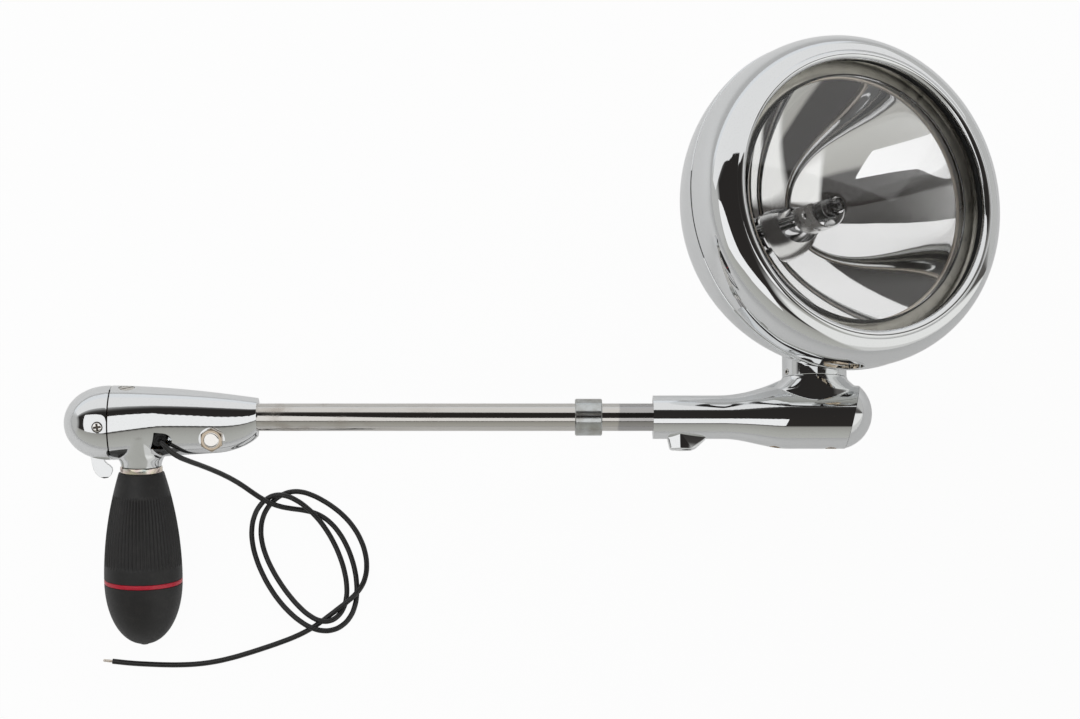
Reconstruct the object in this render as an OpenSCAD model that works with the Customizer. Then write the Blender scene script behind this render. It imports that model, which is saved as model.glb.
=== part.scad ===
// Post-mount spotlight: a lamp head on a geared post, with a pistol-grip handle at the other end.
// The post runs along X, with the origin in the middle of the split bush. +X points to the lamp and
// +Z away from the table on which the unmounted light lies.

/* [Post] */
// Outside diameter of the post tube
post_od = 14.3; // [13.5:0.1:16]
// Wall of the post tube
post_wall = 1.6; // [1.2:0.1:2]
// Length of post between the two housings
post_exposed = 205.4; // [150:0.1:320]
// From the middle of the split bush to the lamp housing
bush_to_lamp = 33.5; // [15:0.5:60]
// Outside diameter of the split bush
bush_od = 19.2; // [18:0.1:24]
// Length of the split bush
bush_len = 14; // [8:0.5:24]
// Width of the slit in the bush
bush_slit = 1.2; // [0.6:0.1:2.5]

/* [Drive] */
// Wall of the bearings in the post ends
bearing_wall = 0.9; // [0.7:0.1:1.2]
// Length of each of these bearings
bearing_len = 8; // [5:0.5:14]
// Wall of the hollow drive shaft
shaft_wall = 1.6; // [1:0.1:2.2]
// Pitch radius of the mitre gears at their back
gear_r = 10; // [9.5:0.1:10.6]
// Depth of the mitre gears' teeth along the axis
gear_face = 3; // [2:0.1:3.4]
// Teeth on each mitre gear, a multiple of four
gear_teeth = 16; // [12:4:20]
// Length of the gears' hubs
hub_len = 4; // [3.6:0.1:5]
// Wall of the gears' hubs
hub_wall = 2.4; // [1.6:0.1:3]
// Diameter of the roll pins that hold the gears
pin_d = 2; // [1.5:0.1:2.4]

/* [Control housing] */
// From the housing's end on the post to the handle's axis
control_reach = 61.1; // [56:0.1:72]
// Diameter of the housing's end on the post
control_end_d = 20; // [19:0.1:24]
// From the handle's axis to the end cap
handle_to_cap = 14.9; // [14:0.1:20]
// Diameter of the housing at the end cap
control_cap_d = 38.8; // [37:0.1:44]
// How far the housing's fat end hangs below the post's axis
control_drop = 2.9; // [2:0.1:4]
// Depth of the domed end cap
control_cap_depth = 24.8; // [22:0.1:30]
// Wall of the end cap
cap_wall = 2; // [1.5:0.1:2.5]
// How far the keel rises along the housing, from the cap to its end on the post
keel_rise = 5; // [3:0.1:7]
// From the housing's end on the post to the pinch bolt
pinch_from_end = 22.9; // [20:0.1:28]
// Thread diameter of the pinch bolt
pinch_d = 5.4; // [5:0.1:6]
// Width over the flats of the pinch bolt's head
pinch_hex = 10.8; // [9:0.1:12]
// Width of the pinch slot
pinch_slot = 1.4; // [0.8:0.1:2.2]
// Depth of post inside the control housing
control_grip_len = 33; // [29:0.1:36]
// Angle of the handle below the lamp-up direction, about the post
handle_droop = 18; // [0:1:30]

/* [Switch and cord] */
// Diameter of the small cap and terminal screws' heads
screw_head_d = 5.6; // [5:0.1:6.5]
// Diameter of their threads
screw_d = 3; // [2.5:0.1:3.5]
// Thickness of the switch lever
lever_t = 2.6; // [1.6:0.1:3.4]
// Radius of the switch lever's thumb tab
lever_tab_r = 4.5; // [3.5:0.1:5]
// Diameter of the cord port
port_d = 8; // [7:0.1:8.6]
// Diameter of the cord
cord_d = 2.8; // [2.4:0.1:3]
// Diameter of the stripped wire at the cord's end
wire_d = 1.6; // [1:0.1:2]
// Length of the stripped wire
wire_len = 5; // [3:0.5:9]

/* [Handle] */
// Diameter of the handle's boss on the control housing
boss_d = 20.6; // [20:0.1:23]
// From the post's axis to the bottom of the boss
boss_drop = 25.4; // [24:0.1:32]
// Diameter of the handle's stem
handle_stem_d = 10; // [9:0.1:10.6]
// Wall of the handle's bearing
handle_bearing_wall = 2; // [1.5:0.1:2.6]
// Diameter of the ferrule
ferrule_d = 22; // [21:0.1:24]
// Thickness of the ferrule
ferrule_t = 3; // [2:0.1:4]
// Diameter of the grip at its top
grip_top_d = 23.4; // [22:0.1:26]
// Largest diameter of the grip
grip_max_d = 40.8; // [36:0.1:44]
// Length of the grip
grip_len = 91.4; // [80:0.1:110]
// From the top of the grip to the middle of the red band
band_at = 57.6; // [48:0.1:66]
// Width of the red band
band_w = 2.3; // [1.5:0.1:4]

/* [Lamp housing] */
// From the housing's end on the post to the lamp stem
lamp_reach = 84.3; // [80:0.1:96]
// Diameter of the housing's end on the post
lamp_end_d = 22.6; // [21:0.1:25]
// Depth of post inside the lamp housing
lamp_grip_len = 56; // [40:0.1:58]
// Radius of the housing's underside at the gears
lamp_belly_r = 16.4; // [15.8:0.1:18]
// Radius of the ball-shaped end
lamp_ball_r = 18.7; // [18:0.1:20]
// From the lamp stem to the middle of the ball-shaped end
ball_from_stem = 10.8; // [9:0.1:13]
// Slope of the lamp housing's cap joint
cap_slope = 13; // [0:1:20]
// Wall of the lamp housing's end cap
lamp_cap_wall = 2.2; // [1.5:0.1:3]
// Radius of the neck below the head
neck_r = 17; // [16:0.1:18.5]
// Height of the neck above the post's axis
neck_h = 20.4; // [20:0.1:22.4]
// Depth of the clamp lug below the post's axis
lug_drop = 17; // [15:0.1:20]
// Thread diameter of the set screw in the lug
lug_screw_d = 5; // [4:0.1:6]
// Angle of the lamp stem above the Y axis, about the post
stem_lean = 2; // [-10:1:10]

/* [Lamp head] */
// Diameter of the head's stem
head_stem_d = 10; // [9:0.1:10.6]
// Wall of the neck bearing
neck_bearing_wall = 3; // [2:0.1:4]
// From the neck up the stem to the underside of the bowl
saddle_rise = 9.26; // [8.5:0.01:12]
// How far the head is turned toward +X as it lies
head_yaw = 24; // [-60:1:60]
// From the stem's axis to the middle of the bowl's sphere
bowl_ahead = 39.3; // [37:0.1:42]
// Wall of the bowl
bowl_wall = 1.5; // [1:0.1:2]
// From the middle of the bowl's sphere back to the seam
seam_behind = 10.8; // [9:0.1:12]
// How far the bezel's skirt stands inside the bowl's sphere
bezel_inset = 1; // [0.6:0.1:1.4]
// Length of the bezel from the seam to the front bead
bezel_len = 29.6; // [27:0.1:33]
// From the front bead's crest out to the bezel's skirt
bezel_flare = 13.6; // [12:0.1:16]
// Wall of the bezel
bezel_wall = 1.4; // [1:0.1:1.8]
// Radius of the saddle under the bowl
saddle_r = 16.7; // [15:0.1:17]
// Diameter of the bezel screw's head
bezel_screw_d = 8.4; // [7:0.1:9]

/* [Lamp] */
// Outside radius of the lamp's glass
glass_r = 73; // [72.4:0.1:74]
// Wall of the lamp's glass
glass_wall = 3.5; // [2.5:0.1:4]
// How far the glass reaches out past the front bead's crest
glass_lap = 0.4; // [0.2:0.1:1]
// Width of the glass rim round the reflector
rim_w = 9; // [7:0.1:11]
// From the back of the bowl to the reflector's lowest point
mirror_clear = 19.5; // [18:0.1:24]
// Radius of curvature of the front of the lens
lens_dome = 260; // [200:5:400]
// Radius of the lamp's halogen capsule
capsule_r = 6; // [5:0.1:7]
// Length of the halogen capsule
capsule_len = 24; // [20:0.5:27]

/* [Hidden] */
$fn = 72;
// Clearance of running fits, and of screws and pins in their holes
fit = 0.05;
// Clearance of parts that turn past each other
gap = 0.3;
eps = 0.5;

// Places along the post
lamp_face_x = bush_to_lamp;
control_face_x = bush_to_lamp - post_exposed;
stem_x = lamp_face_x + lamp_reach;
handle_x = control_face_x - control_reach;
cap_x = handle_x - handle_to_cap;
pinch_x = control_face_x - pinch_from_end;
tube_x0 = control_face_x - control_grip_len;
tube_x1 = lamp_face_x + lamp_grip_len;

// Post and drive
post_r = post_od / 2;
post_bore_r = post_r - post_wall;
bearing_r = post_bore_r - bearing_wall - fit;
shaft_r = bearing_r - fit;
shaft_bore_r = shaft_r - shaft_wall;
gear_front = gear_r - gear_face;
gear_back = gear_r + hub_len;
pitch_deg = 360 / gear_teeth;
tooth_tip_r = 1 + 1.6 / gear_teeth;
tooth_root_r = 1 - 2.2 / gear_teeth;
gear_room_r = gear_r * tooth_tip_r + 0.6;
pin_at = gear_r + hub_len / 2;

// Control housing
cap_r = control_cap_d / 2;
room_r = gear_room_r + 1;
control_room_x = handle_x + gear_back + 7;
handle_stem_r = handle_stem_d / 2;
handle_bush_r = handle_stem_r + fit + handle_bearing_wall;
ferrule_top = boss_drop + gap;
grip_top = ferrule_top + ferrule_t;
pinch_y = -(post_r + gap + pinch_d / 2);
pinch_seat = 9.2;
lever_pivot = [cap_x - 8.6, -12];
lever_tab = [cap_x - 4.2, -cap_r - control_drop - 5.6];
cap_screw_at = [cap_x - 4.6, -2.4];
cap_head_h = 1.4;
cap_screw_seat = cap_r - 1.4;
tongue_out = cap_screw_seat - 2.4;
tongue_t = 3.6;
top_screw_x = handle_x - 6.4;
port_at = [handle_x + 10.1, -9.4, 8.7];
port_turn = [17, 29, 0];
plug_len = 4;
screw_r = screw_d / 2;
head_r = screw_head_d / 2;

// Lamp housing
lamp_end_r = lamp_end_d / 2;
ball = [stem_x + ball_from_stem, 2, 0];
seam_off = 8.5;
lamp_room_x = tube_x1 + 4;
lug_x = lamp_face_x + 7.4;
lug_len = 20;
lug_w = 12.4;
lug_screw_x = lug_x + lug_len / 2;
lug_screw_r = lug_screw_d / 2;
under_screws = [stem_x - 21, stem_x + 8];
head_stem_r = head_stem_d / 2;
neck_bush_r = head_stem_r + fit + neck_bearing_wall;
saddle_y = neck_h + gap;
lip_r = glass_r - glass_lap;
bezel_r = lip_r + bezel_flare;
bowl_r = bezel_r + bezel_inset;
bowl_bottom = neck_h + saddle_rise;
lamp_axis_h = bowl_bottom + sqrt(pow(bowl_r, 2) - pow(bowl_ahead, 2));
plate_top = bowl_bottom + bowl_wall + 8;
nut_h = 6;

// Lamp head, measured along the lamp's axis from the stem's axis
seam_t = bowl_ahead - seam_behind;
crest_t = seam_t + bezel_len;
shoulder_t = seam_t + 6.2;
crease_r = lip_r + 2.4;
bead_r = 2.6;
flange_r = bezel_r - bezel_wall - gap;
glass_t = crest_t - 9.6;
rim_t = 10;
mouth_t = glass_t - rim_t;
mirror_r = glass_r - rim_w;
vertex_t = bowl_ahead - bowl_r + mirror_clear;
mirror_focus = pow(mirror_r, 2) / (4 * (mouth_t - vertex_t));
screw_t = seam_t + 8.4;
screw_turn = -3;
pad_r = bezel_r - 3.6;
clip_r = pad_r - 5.2;
cup_wall = 1.4;
clip_back = 4.6;
bezel_head_h = 3.2;

// Cord: the route of its middle, from the port to the stripped end
cord_r = cord_d / 2;
route = [
    [-216, -21, 10], [-213, -22, 5], [-209, -22, -2], [-204, -23, -11], [-198, -24, -21], [-192, -26, -30],
    [-187, -28, -36], [-183, -30, -39], [-179, -34, -40], [-174, -37, -41], [-169, -40, -41.5],
    [-164, -42, -44], [-158, -42, -46], [-152, -42, -46], [-146, -43, -46],
    [-141, -45, -46], [-136, -49, -46], [-132, -54, -46], [-128, -60, -46], [-125, -68, -46], [-123, -75, -46],
    [-122, -81, -46], [-122, -88, -46], [-122, -95, -46], [-125, -101, -46], [-129, -105, -46],
    [-134, -108, -45.5], [-140, -109, -43], [-146, -107, -41.5], [-152, -103, -43], [-158, -98, -46],
    [-164, -92, -46], [-169, -85, -46], [-173, -77, -46], [-177, -69, -46], [-180, -60, -46], [-180, -52, -46],
    [-179, -45, -46], [-176, -39, -46], [-171, -35, -44.5], [-166, -33, -42], [-161, -34, -41.5],
    [-155, -37, -41.5], [-149, -41, -41.5], [-144, -46, -42.5], [-139, -52, -45.5], [-135, -59, -46],
    [-131, -67, -46], [-128, -76, -46], [-127, -84, -46], [-127, -90, -46], [-128, -96, -46], [-132, -101, -45.5],
    [-136, -104, -43], [-141, -104, -41.5], [-147, -101, -42.5], [-153, -95, -45.5], [-158, -89, -46],
    [-163, -83, -46], [-168, -75, -46], [-172, -67, -46], [-175, -59, -46], [-175, -52, -46], [-174, -46, -46],
    [-172, -41, -46], [-168, -37, -46], [-164, -34, -46], [-159, -31, -46], [-153, -31, -46], [-147, -34, -46],
    [-141, -37, -46], [-135, -41, -46], [-129, -45, -46], [-124, -51, -46], [-120, -58, -46], [-117, -65, -46],
    [-116, -73, -46], [-117, -80, -44.5], [-119, -85, -42], [-123, -89, -41.5], [-127, -92, -42],
    [-132, -95, -44.5], [-137, -99, -46], [-142, -103, -46], [-147, -107, -46], [-153, -110, -46],
    [-162, -113, -46], [-171, -116, -46], [-180, -119, -46], [-189, -122, -46], [-198, -124, -46],
    [-206, -125, -46], [-214, -125, -46], [-222, -125, -46], [-231, -125, -46], [-241, -124, -46],
    [-251, -123, -46]];

// Frames: the lamp end and the control end are clocked differently about the post
module lamp_side() { rotate([stem_lean, 0, 0]) children(); }
module control_side() { rotate([handle_droop, 0, 0]) children(); }
module at_handle() { control_side() translate([handle_x, 0, 0]) children(); }
module at_stem() { lamp_side() translate([stem_x, 0, 0]) children(); }
module on_stem() { at_stem() rotate([0, head_yaw, 0]) children(); }
module at_head() { on_stem() translate([0, lamp_axis_h, 0]) children(); }

// A round bar or tube along X, from x0 to x1
module bar_x(x0, x1, r) { translate([x0, 0, 0]) rotate([0, 90, 0]) cylinder(r = r, h = x1 - x0); }
module tube_x(x0, x1, r, bore) {
    difference() {
        bar_x(x0, x1, r);
        bar_x(x0 - eps, x1 + eps, bore);
    }
}
// The same along +Y, from y0 to y1
module bar_y(y0, y1, r) { translate([0, y0, 0]) rotate([-90, 0, 0]) cylinder(r = r, h = y1 - y0); }
module tube_y(y0, y1, r, bore) {
    difference() {
        bar_y(y0, y1, r);
        bar_y(y0 - eps, y1 + eps, bore);
    }
}

// A screw along +Z with its head's top at 0: flat head, shank below
module screw(hr, hh, sr, len) {
    translate([0, 0, -hh]) cylinder(r = hr, h = hh);
    translate([0, 0, -len]) cylinder(r = sr, h = len - hh + 0.01);
}
module cross_recess(w, deep) {
    for (a = [0, 90]) rotate([0, 0, a]) translate([-w / 2, -w / 8, -deep]) cube([w, w / 4, deep + eps]);
}
module slot_recess(hr, w, deep) { translate([-hr - eps, -w / 2, -deep]) cube([2 * hr + 2 * eps, w, deep + eps]); }

// A straight mitre gear along +Z with its cone's apex at the origin, on a hub with a pin hole
tooth_outline = [for (i = [0 : gear_teeth - 1]) each [
    for (p = [[tooth_root_r, -0.36], [tooth_tip_r, -0.115], [tooth_tip_r, 0.115], [tooth_root_r, 0.36]])
        gear_r * p[0] * [cos((i + p[1]) * pitch_deg), sin((i + p[1]) * pitch_deg)]]];
module mitre_gear(bore_r) {
    difference() {
        union() {
            translate([0, 0, gear_r]) mirror([0, 0, 1])
                linear_extrude(height = gear_face, scale = gear_front / gear_r) polygon(tooth_outline);
            translate([0, 0, gear_r - 0.2]) cylinder(r = bore_r + hub_wall, h = hub_len + 0.2);
        }
        translate([0, 0, gear_front - eps]) cylinder(r = bore_r, h = gear_face + hub_len + 2 * eps);
        pin_hole(bore_r + hub_wall);
    }
}
module pin_hole(reach) {
    translate([-reach - eps, 0, pin_at]) rotate([0, 90, 0]) cylinder(r = pin_d / 2 + fit, h = 2 * (reach + eps));
}
module roll_pin(bore_r) {
    len = 2 * (bore_r + hub_wall) - 0.4;
    translate([-len / 2, 0, pin_at]) rotate([0, 90, 0]) cylinder(r = pin_d / 2, h = len);
}

// Mitre gears' places: +Z of each gear points from the meeting of the axes to its hub
module control_drive_place() { at_handle() rotate([0, 90, 0]) children(); }
module handle_place() { at_handle() rotate([90, 0, 0]) rotate([0, 0, pitch_deg / 2]) children(); }
module lamp_drive_place() { at_stem() rotate([0, -90, 0]) children(); }
module stem_place() { at_stem() rotate([-90, 0, 0]) rotate([0, 0, pitch_deg / 2]) children(); }

// Post
module post_tube() { color("silver") tube_x(tube_x0, tube_x1, post_r, post_bore_r); }
module split_bush() {
    color("gray") difference() {
        tube_x(-bush_len / 2, bush_len / 2, bush_od / 2, post_r + fit);
        translate([-bush_len / 2 - eps, -bush_slit / 2, 0]) cube([bush_len + 2 * eps, bush_slit, bush_od]);
    }
}
module post_bearings() {
    color("darkgoldenrod") {
        tube_x(tube_x0, tube_x0 + bearing_len, post_bore_r - fit, bearing_r);
        tube_x(tube_x1 - bearing_len, tube_x1, post_bore_r - fit, bearing_r);
    }
}

// Drive shaft
module drive_shaft() {
    color("lightsteelblue") difference() {
        tube_x(handle_x + gear_front, stem_x - gear_front, shaft_r, shaft_bore_r);
        control_drive_place() pin_hole(shaft_r);
        lamp_drive_place() pin_hole(shaft_r);
    }
}
module control_drive_gear() { color("goldenrod") control_drive_place() mitre_gear(shaft_r + fit); }
module lamp_drive_gear() { color("goldenrod") lamp_drive_place() mitre_gear(shaft_r + fit); }
module drive_pins() {
    color("dimgray") {
        control_drive_place() roll_pin(shaft_r + fit);
        lamp_drive_place() roll_pin(shaft_r + fit);
    }
}

// Control housing, in its own frame with the grip along -Y
// Its sections are egg-shaped, narrow below: u runs from 0 at the cap to 1 at the end on the post
control_end_r = control_end_d / 2;
cap_top = cap_r - control_drop;
function control_top(u) = cap_top - (cap_top - control_end_r) * pow(u, 1.7);
function control_low(u) = let (keel = -cap_r - control_drop + keel_rise * u, v = max(0, (u - 0.72) / 0.28))
    -control_end_r + (keel + control_end_r) * pow(1 - v * v, 0.75);
function control_wide(u) = control_end_r + (cap_r - control_end_r) * (1 - u);
function control_egg(u) = 0.16 * min(1, u / 0.35);
loft_sides = 36;
function control_ring(u) = let (mid = (control_top(u) + control_low(u)) / 2,
    half = (control_top(u) - control_low(u)) / 2)
    [for (k = [0 : loft_sides - 1]) let (a = k * 360 / loft_sides)
        [cap_x + (control_face_x - cap_x) * u, mid + half * cos(a),
            control_wide(u) * sin(a) * (1 + control_egg(u) * cos(a))]];
// A closed skin over rings of points, one ring after another along +X
module skin(rings) {
    n = len(rings) - 1;
    m = len(rings[0]);
    polyhedron(points = [for (r = rings) each r], faces = concat(
        [[for (k = [0 : m - 1]) k]],
        [[for (k = [m - 1 : -1 : 0]) n * m + k]],
        [for (i = [0 : n - 1]) for (k = [0 : m - 1]) each [
            [i * m + k, (i + 1) * m + k, i * m + (k + 1) % m],
            [i * m + (k + 1) % m, (i + 1) * m + k, (i + 1) * m + (k + 1) % m]]]));
}
// An oval disc across Y, half width in X and in Z
module oval_y(y, half_x, half_z) { translate([0, y, 0]) rotate([90, 0, 0]) scale([half_x, half_z, 1]) cylinder(r = 1, h = 0.5); }
module control_outline() {
    skin([for (u = [0, 0.1, 0.2, 0.3, 0.4, 0.5, 0.6, 0.68, 0.74, 0.8, 0.85, 0.9, 0.94, 0.97, 0.99, 1]) control_ring(u)]);
    translate([handle_x, 0, 0]) hull() {
        oval_y(-boss_drop + 2.5, boss_d / 2, boss_d / 2);
        oval_y(-boss_drop + 0.5, boss_d / 2, boss_d / 2);
        oval_y(-boss_drop + 17, boss_d / 2 + 1.6, cap_r - 2.2);
    }
}
module cap_tongues() {
    for (s = [-1, 1]) translate([cap_x - 9, cap_screw_at[1] - 3.4, s > 0 ? tongue_out - tongue_t : -tongue_out])
        cube([12, 6.8, tongue_t]);
}
module cap_screw_holes(r0, r1, z0) {
    for (s = [0, 180]) translate([cap_screw_at[0], cap_screw_at[1], 0]) rotate([s, 0, 0]) {
        translate([0, 0, z0]) cylinder(r = r0, h = cap_r);
        translate([0, 0, cap_screw_seat]) cylinder(r = r1, h = cap_r);
    }
}
module port_place() { control_side() translate(port_at) rotate(port_turn) children(); }
module top_screw_place() {
    control_side() translate([top_screw_x, cap_top - 0.7, 3]) rotate([-80, 0, 0]) children();
}
module pinch_place(turn) {
    control_side() translate([pinch_x, pinch_y, 0]) rotate([0, turn, 0]) translate([0, 0, pinch_seat]) children();
}
module control_housing() {
    color("lightgray") difference() {
        control_side() {
            control_outline();
            cap_tongues();
        }
        control_side() {
            bar_x(cap_x + 3, control_room_x, room_r);
            bar_x(cap_x - eps, cap_x + 3.1, gear_room_r);
            translate([handle_x, 0, 0]) {
                bar_y(-gear_back - 0.2, 0, gear_room_r);
                bar_y(-boss_drop - eps, -gear_back, handle_bush_r + fit);
            }
            bar_x(tube_x0, control_face_x + eps, post_r + fit);
            bar_x(control_room_x - eps, tube_x0 + eps, shaft_r + 1);
            translate([control_face_x - control_grip_len, -2 * cap_r, -pinch_slot / 2])
                cube([control_grip_len + eps, 2 * cap_r, pinch_slot]);
            cap_screw_holes(screw_r + fit, screw_r + fit, 0);
        }
        for (a = [0, 180]) pinch_place(a) {
            cylinder(r = pinch_hex * 0.62, h = cap_r);
            translate([0, 0, -pinch_seat - eps]) cylinder(r = pinch_d / 2 + fit, h = pinch_seat + 2 * eps);
        }
        port_place() translate([0, 0, -4]) cylinder(r = port_d / 2, h = 16);
        top_screw_place() {
            translate([0, 0, -2.2]) cylinder(r = 4.1 + fit, h = 6);
            translate([0, 0, -9]) cylinder(r = screw_r + fit, h = 8);
        }
    }
}
module control_cap() {
    dome = [for (a = [0 : 7.5 : 90]) [cap_r * cos(a), control_cap_depth * pow(sin(a), 0.92)]];
    inner_r = cap_r - cap_wall;
    hollow = [for (a = [0 : 7.5 : 90]) [inner_r * cos(a), (control_cap_depth - cap_wall) * pow(sin(a), 0.92)]];
    color("lightgray") control_side() difference() {
        translate([cap_x, -control_drop, 0]) rotate([0, -90, 0]) difference() {
            rotate_extrude() polygon(concat([[0, 0]], dome));
            translate([0, 0, -0.001]) rotate_extrude() polygon(concat([[0, 0]], hollow));
        }
        cap_screw_holes(screw_r + fit, head_r + fit, tongue_out - tongue_t);
        translate([cap_x - 15, -cap_r - control_drop - 1, -lever_t / 2 - gap]) cube([15 + eps, 11, lever_t + 2 * gap]);
    }
}
module cap_screws() {
    color("lightgray") control_side() for (s = [0, 180])
        translate([cap_screw_at[0], cap_screw_at[1], 0]) rotate([s, 0, 0]) translate([0, 0, cap_screw_seat + cap_head_h])
        difference() {
            screw(head_r, cap_head_h, screw_r, cap_head_h + cap_screw_seat - tongue_out + tongue_t);
            cross_recess(head_r * 1.2, 0.9);
        }
}
module top_screw() {
    color("lightgray") top_screw_place() difference() {
        screw(4.1, 2.2, screw_r, 5);
        slot_recess(4.1, 1.1, 0.9);
    }
}
module pinch_bolt() {
    color("lightgray") pinch_place(0) difference() {
        union() {
            cylinder(d = pinch_hex / cos(30), h = 3.4, $fn = 6);
            translate([0, 0, 3.4]) cylinder(d = pinch_hex * 0.82, h = 0.6);
            translate([0, 0, -2 * pinch_seat - 5]) cylinder(r = pinch_d / 2, h = 2 * pinch_seat + 5.1);
        }
    }
}
module pinch_nut() {
    color("lightgray") pinch_place(180) difference() {
        cylinder(d = pinch_hex / cos(30), h = 4.6, $fn = 6);
        translate([0, 0, -eps]) cylinder(r = pinch_d / 2 + fit, h = 4.6 + 2 * eps);
    }
}

// Switch, cord port and cord
module switch_body() {
    color("saddlebrown") control_side() difference() {
        union() {
            translate([cap_x - 12.5, -14.5, -6.5]) cube([12.5, 20.5, 13]);
            intersection() {
                bar_x(cap_x - 1.6, cap_x, gear_room_r + 1.4);
                translate([cap_x - 2, -20, gap - tongue_out + tongue_t]) cube([3, 40, 2 * (tongue_out - tongue_t - gap)]);
            }
        }
        translate([cap_x - 12.5 - eps, -15, -lever_t / 2 - gap]) cube([13.5, 6.6, lever_t + 2 * gap]);
        translate([lever_pivot[0], lever_pivot[1], -10]) cylinder(r = 1.5 + fit, h = 20);
    }
}
module lever_outline() {
    hull() {
        translate(lever_pivot) circle(r = 2.6);
        translate([lever_pivot[0] - 0.4, lever_tab[1] + 5.4]) circle(r = 2.4);
    }
    hull() {
        translate([lever_pivot[0] - 0.4, lever_tab[1] + 5.4]) circle(r = 2.4);
        translate(lever_tab) circle(r = lever_tab_r);
    }
}
module switch_lever() {
    color("lightgray") control_side() difference() {
        translate([0, 0, -lever_t / 2]) linear_extrude(height = lever_t) lever_outline();
        translate([lever_pivot[0], lever_pivot[1], -lever_t]) cylinder(r = 1.5 + fit, h = 2 * lever_t);
    }
}
module lever_pivot_pin() {
    color("dimgray") control_side() translate([lever_pivot[0], lever_pivot[1], -6.5])
        cylinder(r = 1.5, h = 13);
}
module cord_grommet() {
    color("black") port_place() cylinder(r = port_d / 2 - fit, h = plug_len);
}

// The cord is swept along its route with eight sides, from the grommet's face
function tilted(p) = [p[0], p[1] * cos(handle_droop) - p[2] * sin(handle_droop),
    p[1] * sin(handle_droop) + p[2] * cos(handle_droop)];
function port_point(out) = tilted(port_at + out * [cos(port_turn[0]) * sin(port_turn[1]),
    -sin(port_turn[0]), cos(port_turn[0]) * cos(port_turn[1])]);
// The route is given for a handle at this place along the post, and follows it
route_handle_x = -233;
path = concat([for (out = [plug_len, plug_len + 2.5]) port_point(out)],
    [for (p = route) p + [handle_x - route_handle_x, 0, 0]]);
last = len(path) - 1;
function unit(v) = v / norm(v);
function heading(i) = unit(path[min(i + 1, last)] - path[max(i - 1, 0)]);
function across(i) = unit(cross(heading(i), i == 0 ? [0, 1, 0.2] : prior_up(i)));
function prior_up(i) = abs(heading(i)[2]) > 0.94 ? [0, 1, 0.2] : [0, 0, 1];
function ring(i) = [for (k = [0 : 7]) path[i]
    + cord_r * (cos(k * 45 + 22.5) * across(i) + sin(k * 45 + 22.5) * cross(across(i), heading(i)))];
sides = 8;
module tube_along(rings) {
    n = len(rings) - 1;
    polyhedron(points = [for (r = rings) each r], faces = concat(
        [[for (k = [sides - 1 : -1 : 0]) k]],
        [[for (k = [0 : sides - 1]) n * sides + k]],
        [for (i = [0 : n - 1]) for (k = [0 : sides - 1]) each [
            [i * sides + k, i * sides + (k + 1) % sides, (i + 1) * sides + k],
            [i * sides + (k + 1) % sides, (i + 1) * sides + (k + 1) % sides, (i + 1) * sides + k]]]));
}
module supply_cord() { color("black") tube_along([for (i = [0 : last]) ring(i)]); }
module cord_wire_end() {
    d = heading(last);
    color("silver") translate(path[last]) rotate([0, 90, atan2(d[1], d[0])]) cylinder(r = wire_d / 2, h = wire_len);
}
// Least gap of the cord to itself, measured on points four to a stretch
fine = [for (i = [0 : last - 1]) for (k = [0 : 3]) path[i] + (path[i + 1] - path[i]) * k / 4];
cord_len = [for (i = 0, s = 0; i <= last; s = s + (i < last ? norm(path[i + 1] - path[i]) : 0), i = i + 1) s][last];
self_gap = min([for (i = [0 : len(fine) - 1]) for (j = [i + 12 : 1 : len(fine) - 1]) norm(fine[i] - fine[j])]) - cord_d;
echo(cord_length = cord_len, cord_least_gap_to_itself = self_gap);

// Handle, in its own frame: distances down from the post's axis
grip_r = grip_max_d / 2;
band_top = grip_top + band_at - band_w / 2;
band_end = band_top + band_w;
grip_end = grip_top + grip_len;
widest = grip_top + band_at - 1;
plug_r = 2.4;
plug_deep = 1.6;
function grip_radius(s) = s < widest
    ? grip_top_d / 2 + (grip_r - grip_top_d / 2) * (1 - pow((widest - s) / (widest - grip_top), 2))
    : grip_r * pow(max(0, 1 - pow((s - widest) / (grip_end - widest), 2.1)), 1 / 2.1);
module handle_turned(points) { at_handle() rotate([90, 0, 0]) rotate_extrude() polygon(points); }
module grip_piece(s0, s1) {
    steps = 14;
    handle_turned(concat([[handle_stem_r + fit, s0]],
        [for (i = [0 : steps]) [grip_radius(s0 + (s1 - s0) * i / steps), s0 + (s1 - s0) * i / steps]],
        [[handle_stem_r + fit, s1]]));
}
module handle_bearing() {
    color("darkgoldenrod") at_handle()
        tube_y(-boss_drop + 0.2, -gear_back - 0.2, handle_bush_r, handle_stem_r + fit);
}
module handle_stem() {
    color("lightsteelblue") difference() {
        at_handle() bar_y(-grip_end + 12, -gear_front, handle_stem_r);
        handle_place() pin_hole(handle_stem_r);
    }
}
module handle_gear() { color("goldenrod") handle_place() mitre_gear(handle_stem_r + fit); }
module handle_pin() { color("dimgray") handle_place() roll_pin(handle_stem_r + fit); }
module handle_ferrule() {
    color("khaki") at_handle() difference() {
        union() {
            bar_y(-grip_top, -ferrule_top - 0.6, ferrule_d / 2);
            bar_y(-ferrule_top - 0.7, -ferrule_top, ferrule_d / 2 - 0.8);
        }
        bar_y(-grip_top - eps, -ferrule_top + eps, handle_stem_r + fit);
    }
}
module grip_upper() { color("#1c1c1c") grip_piece(grip_top, band_top); }
module grip_band() { color("crimson") grip_piece(band_top, band_end); }
module grip_lower() {
    color("#1c1c1c") difference() {
        handle_turned(concat([[handle_stem_r + fit, band_end]],
            [for (i = [0 : 18]) let (s = band_end + (grip_end - band_end) * sin(i * 5)) [grip_radius(s), s]],
            [[0, grip_end - 11.5], [handle_stem_r + fit, grip_end - 11.5]]));
        at_handle() bar_y(-grip_end - 2, -grip_end + plug_deep, plug_r + fit);
    }
}
module grip_plug() {
    color("#1c1c1c") at_handle() bar_y(-grip_end - 0.4, -grip_end + plug_deep, plug_r);
}

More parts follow.
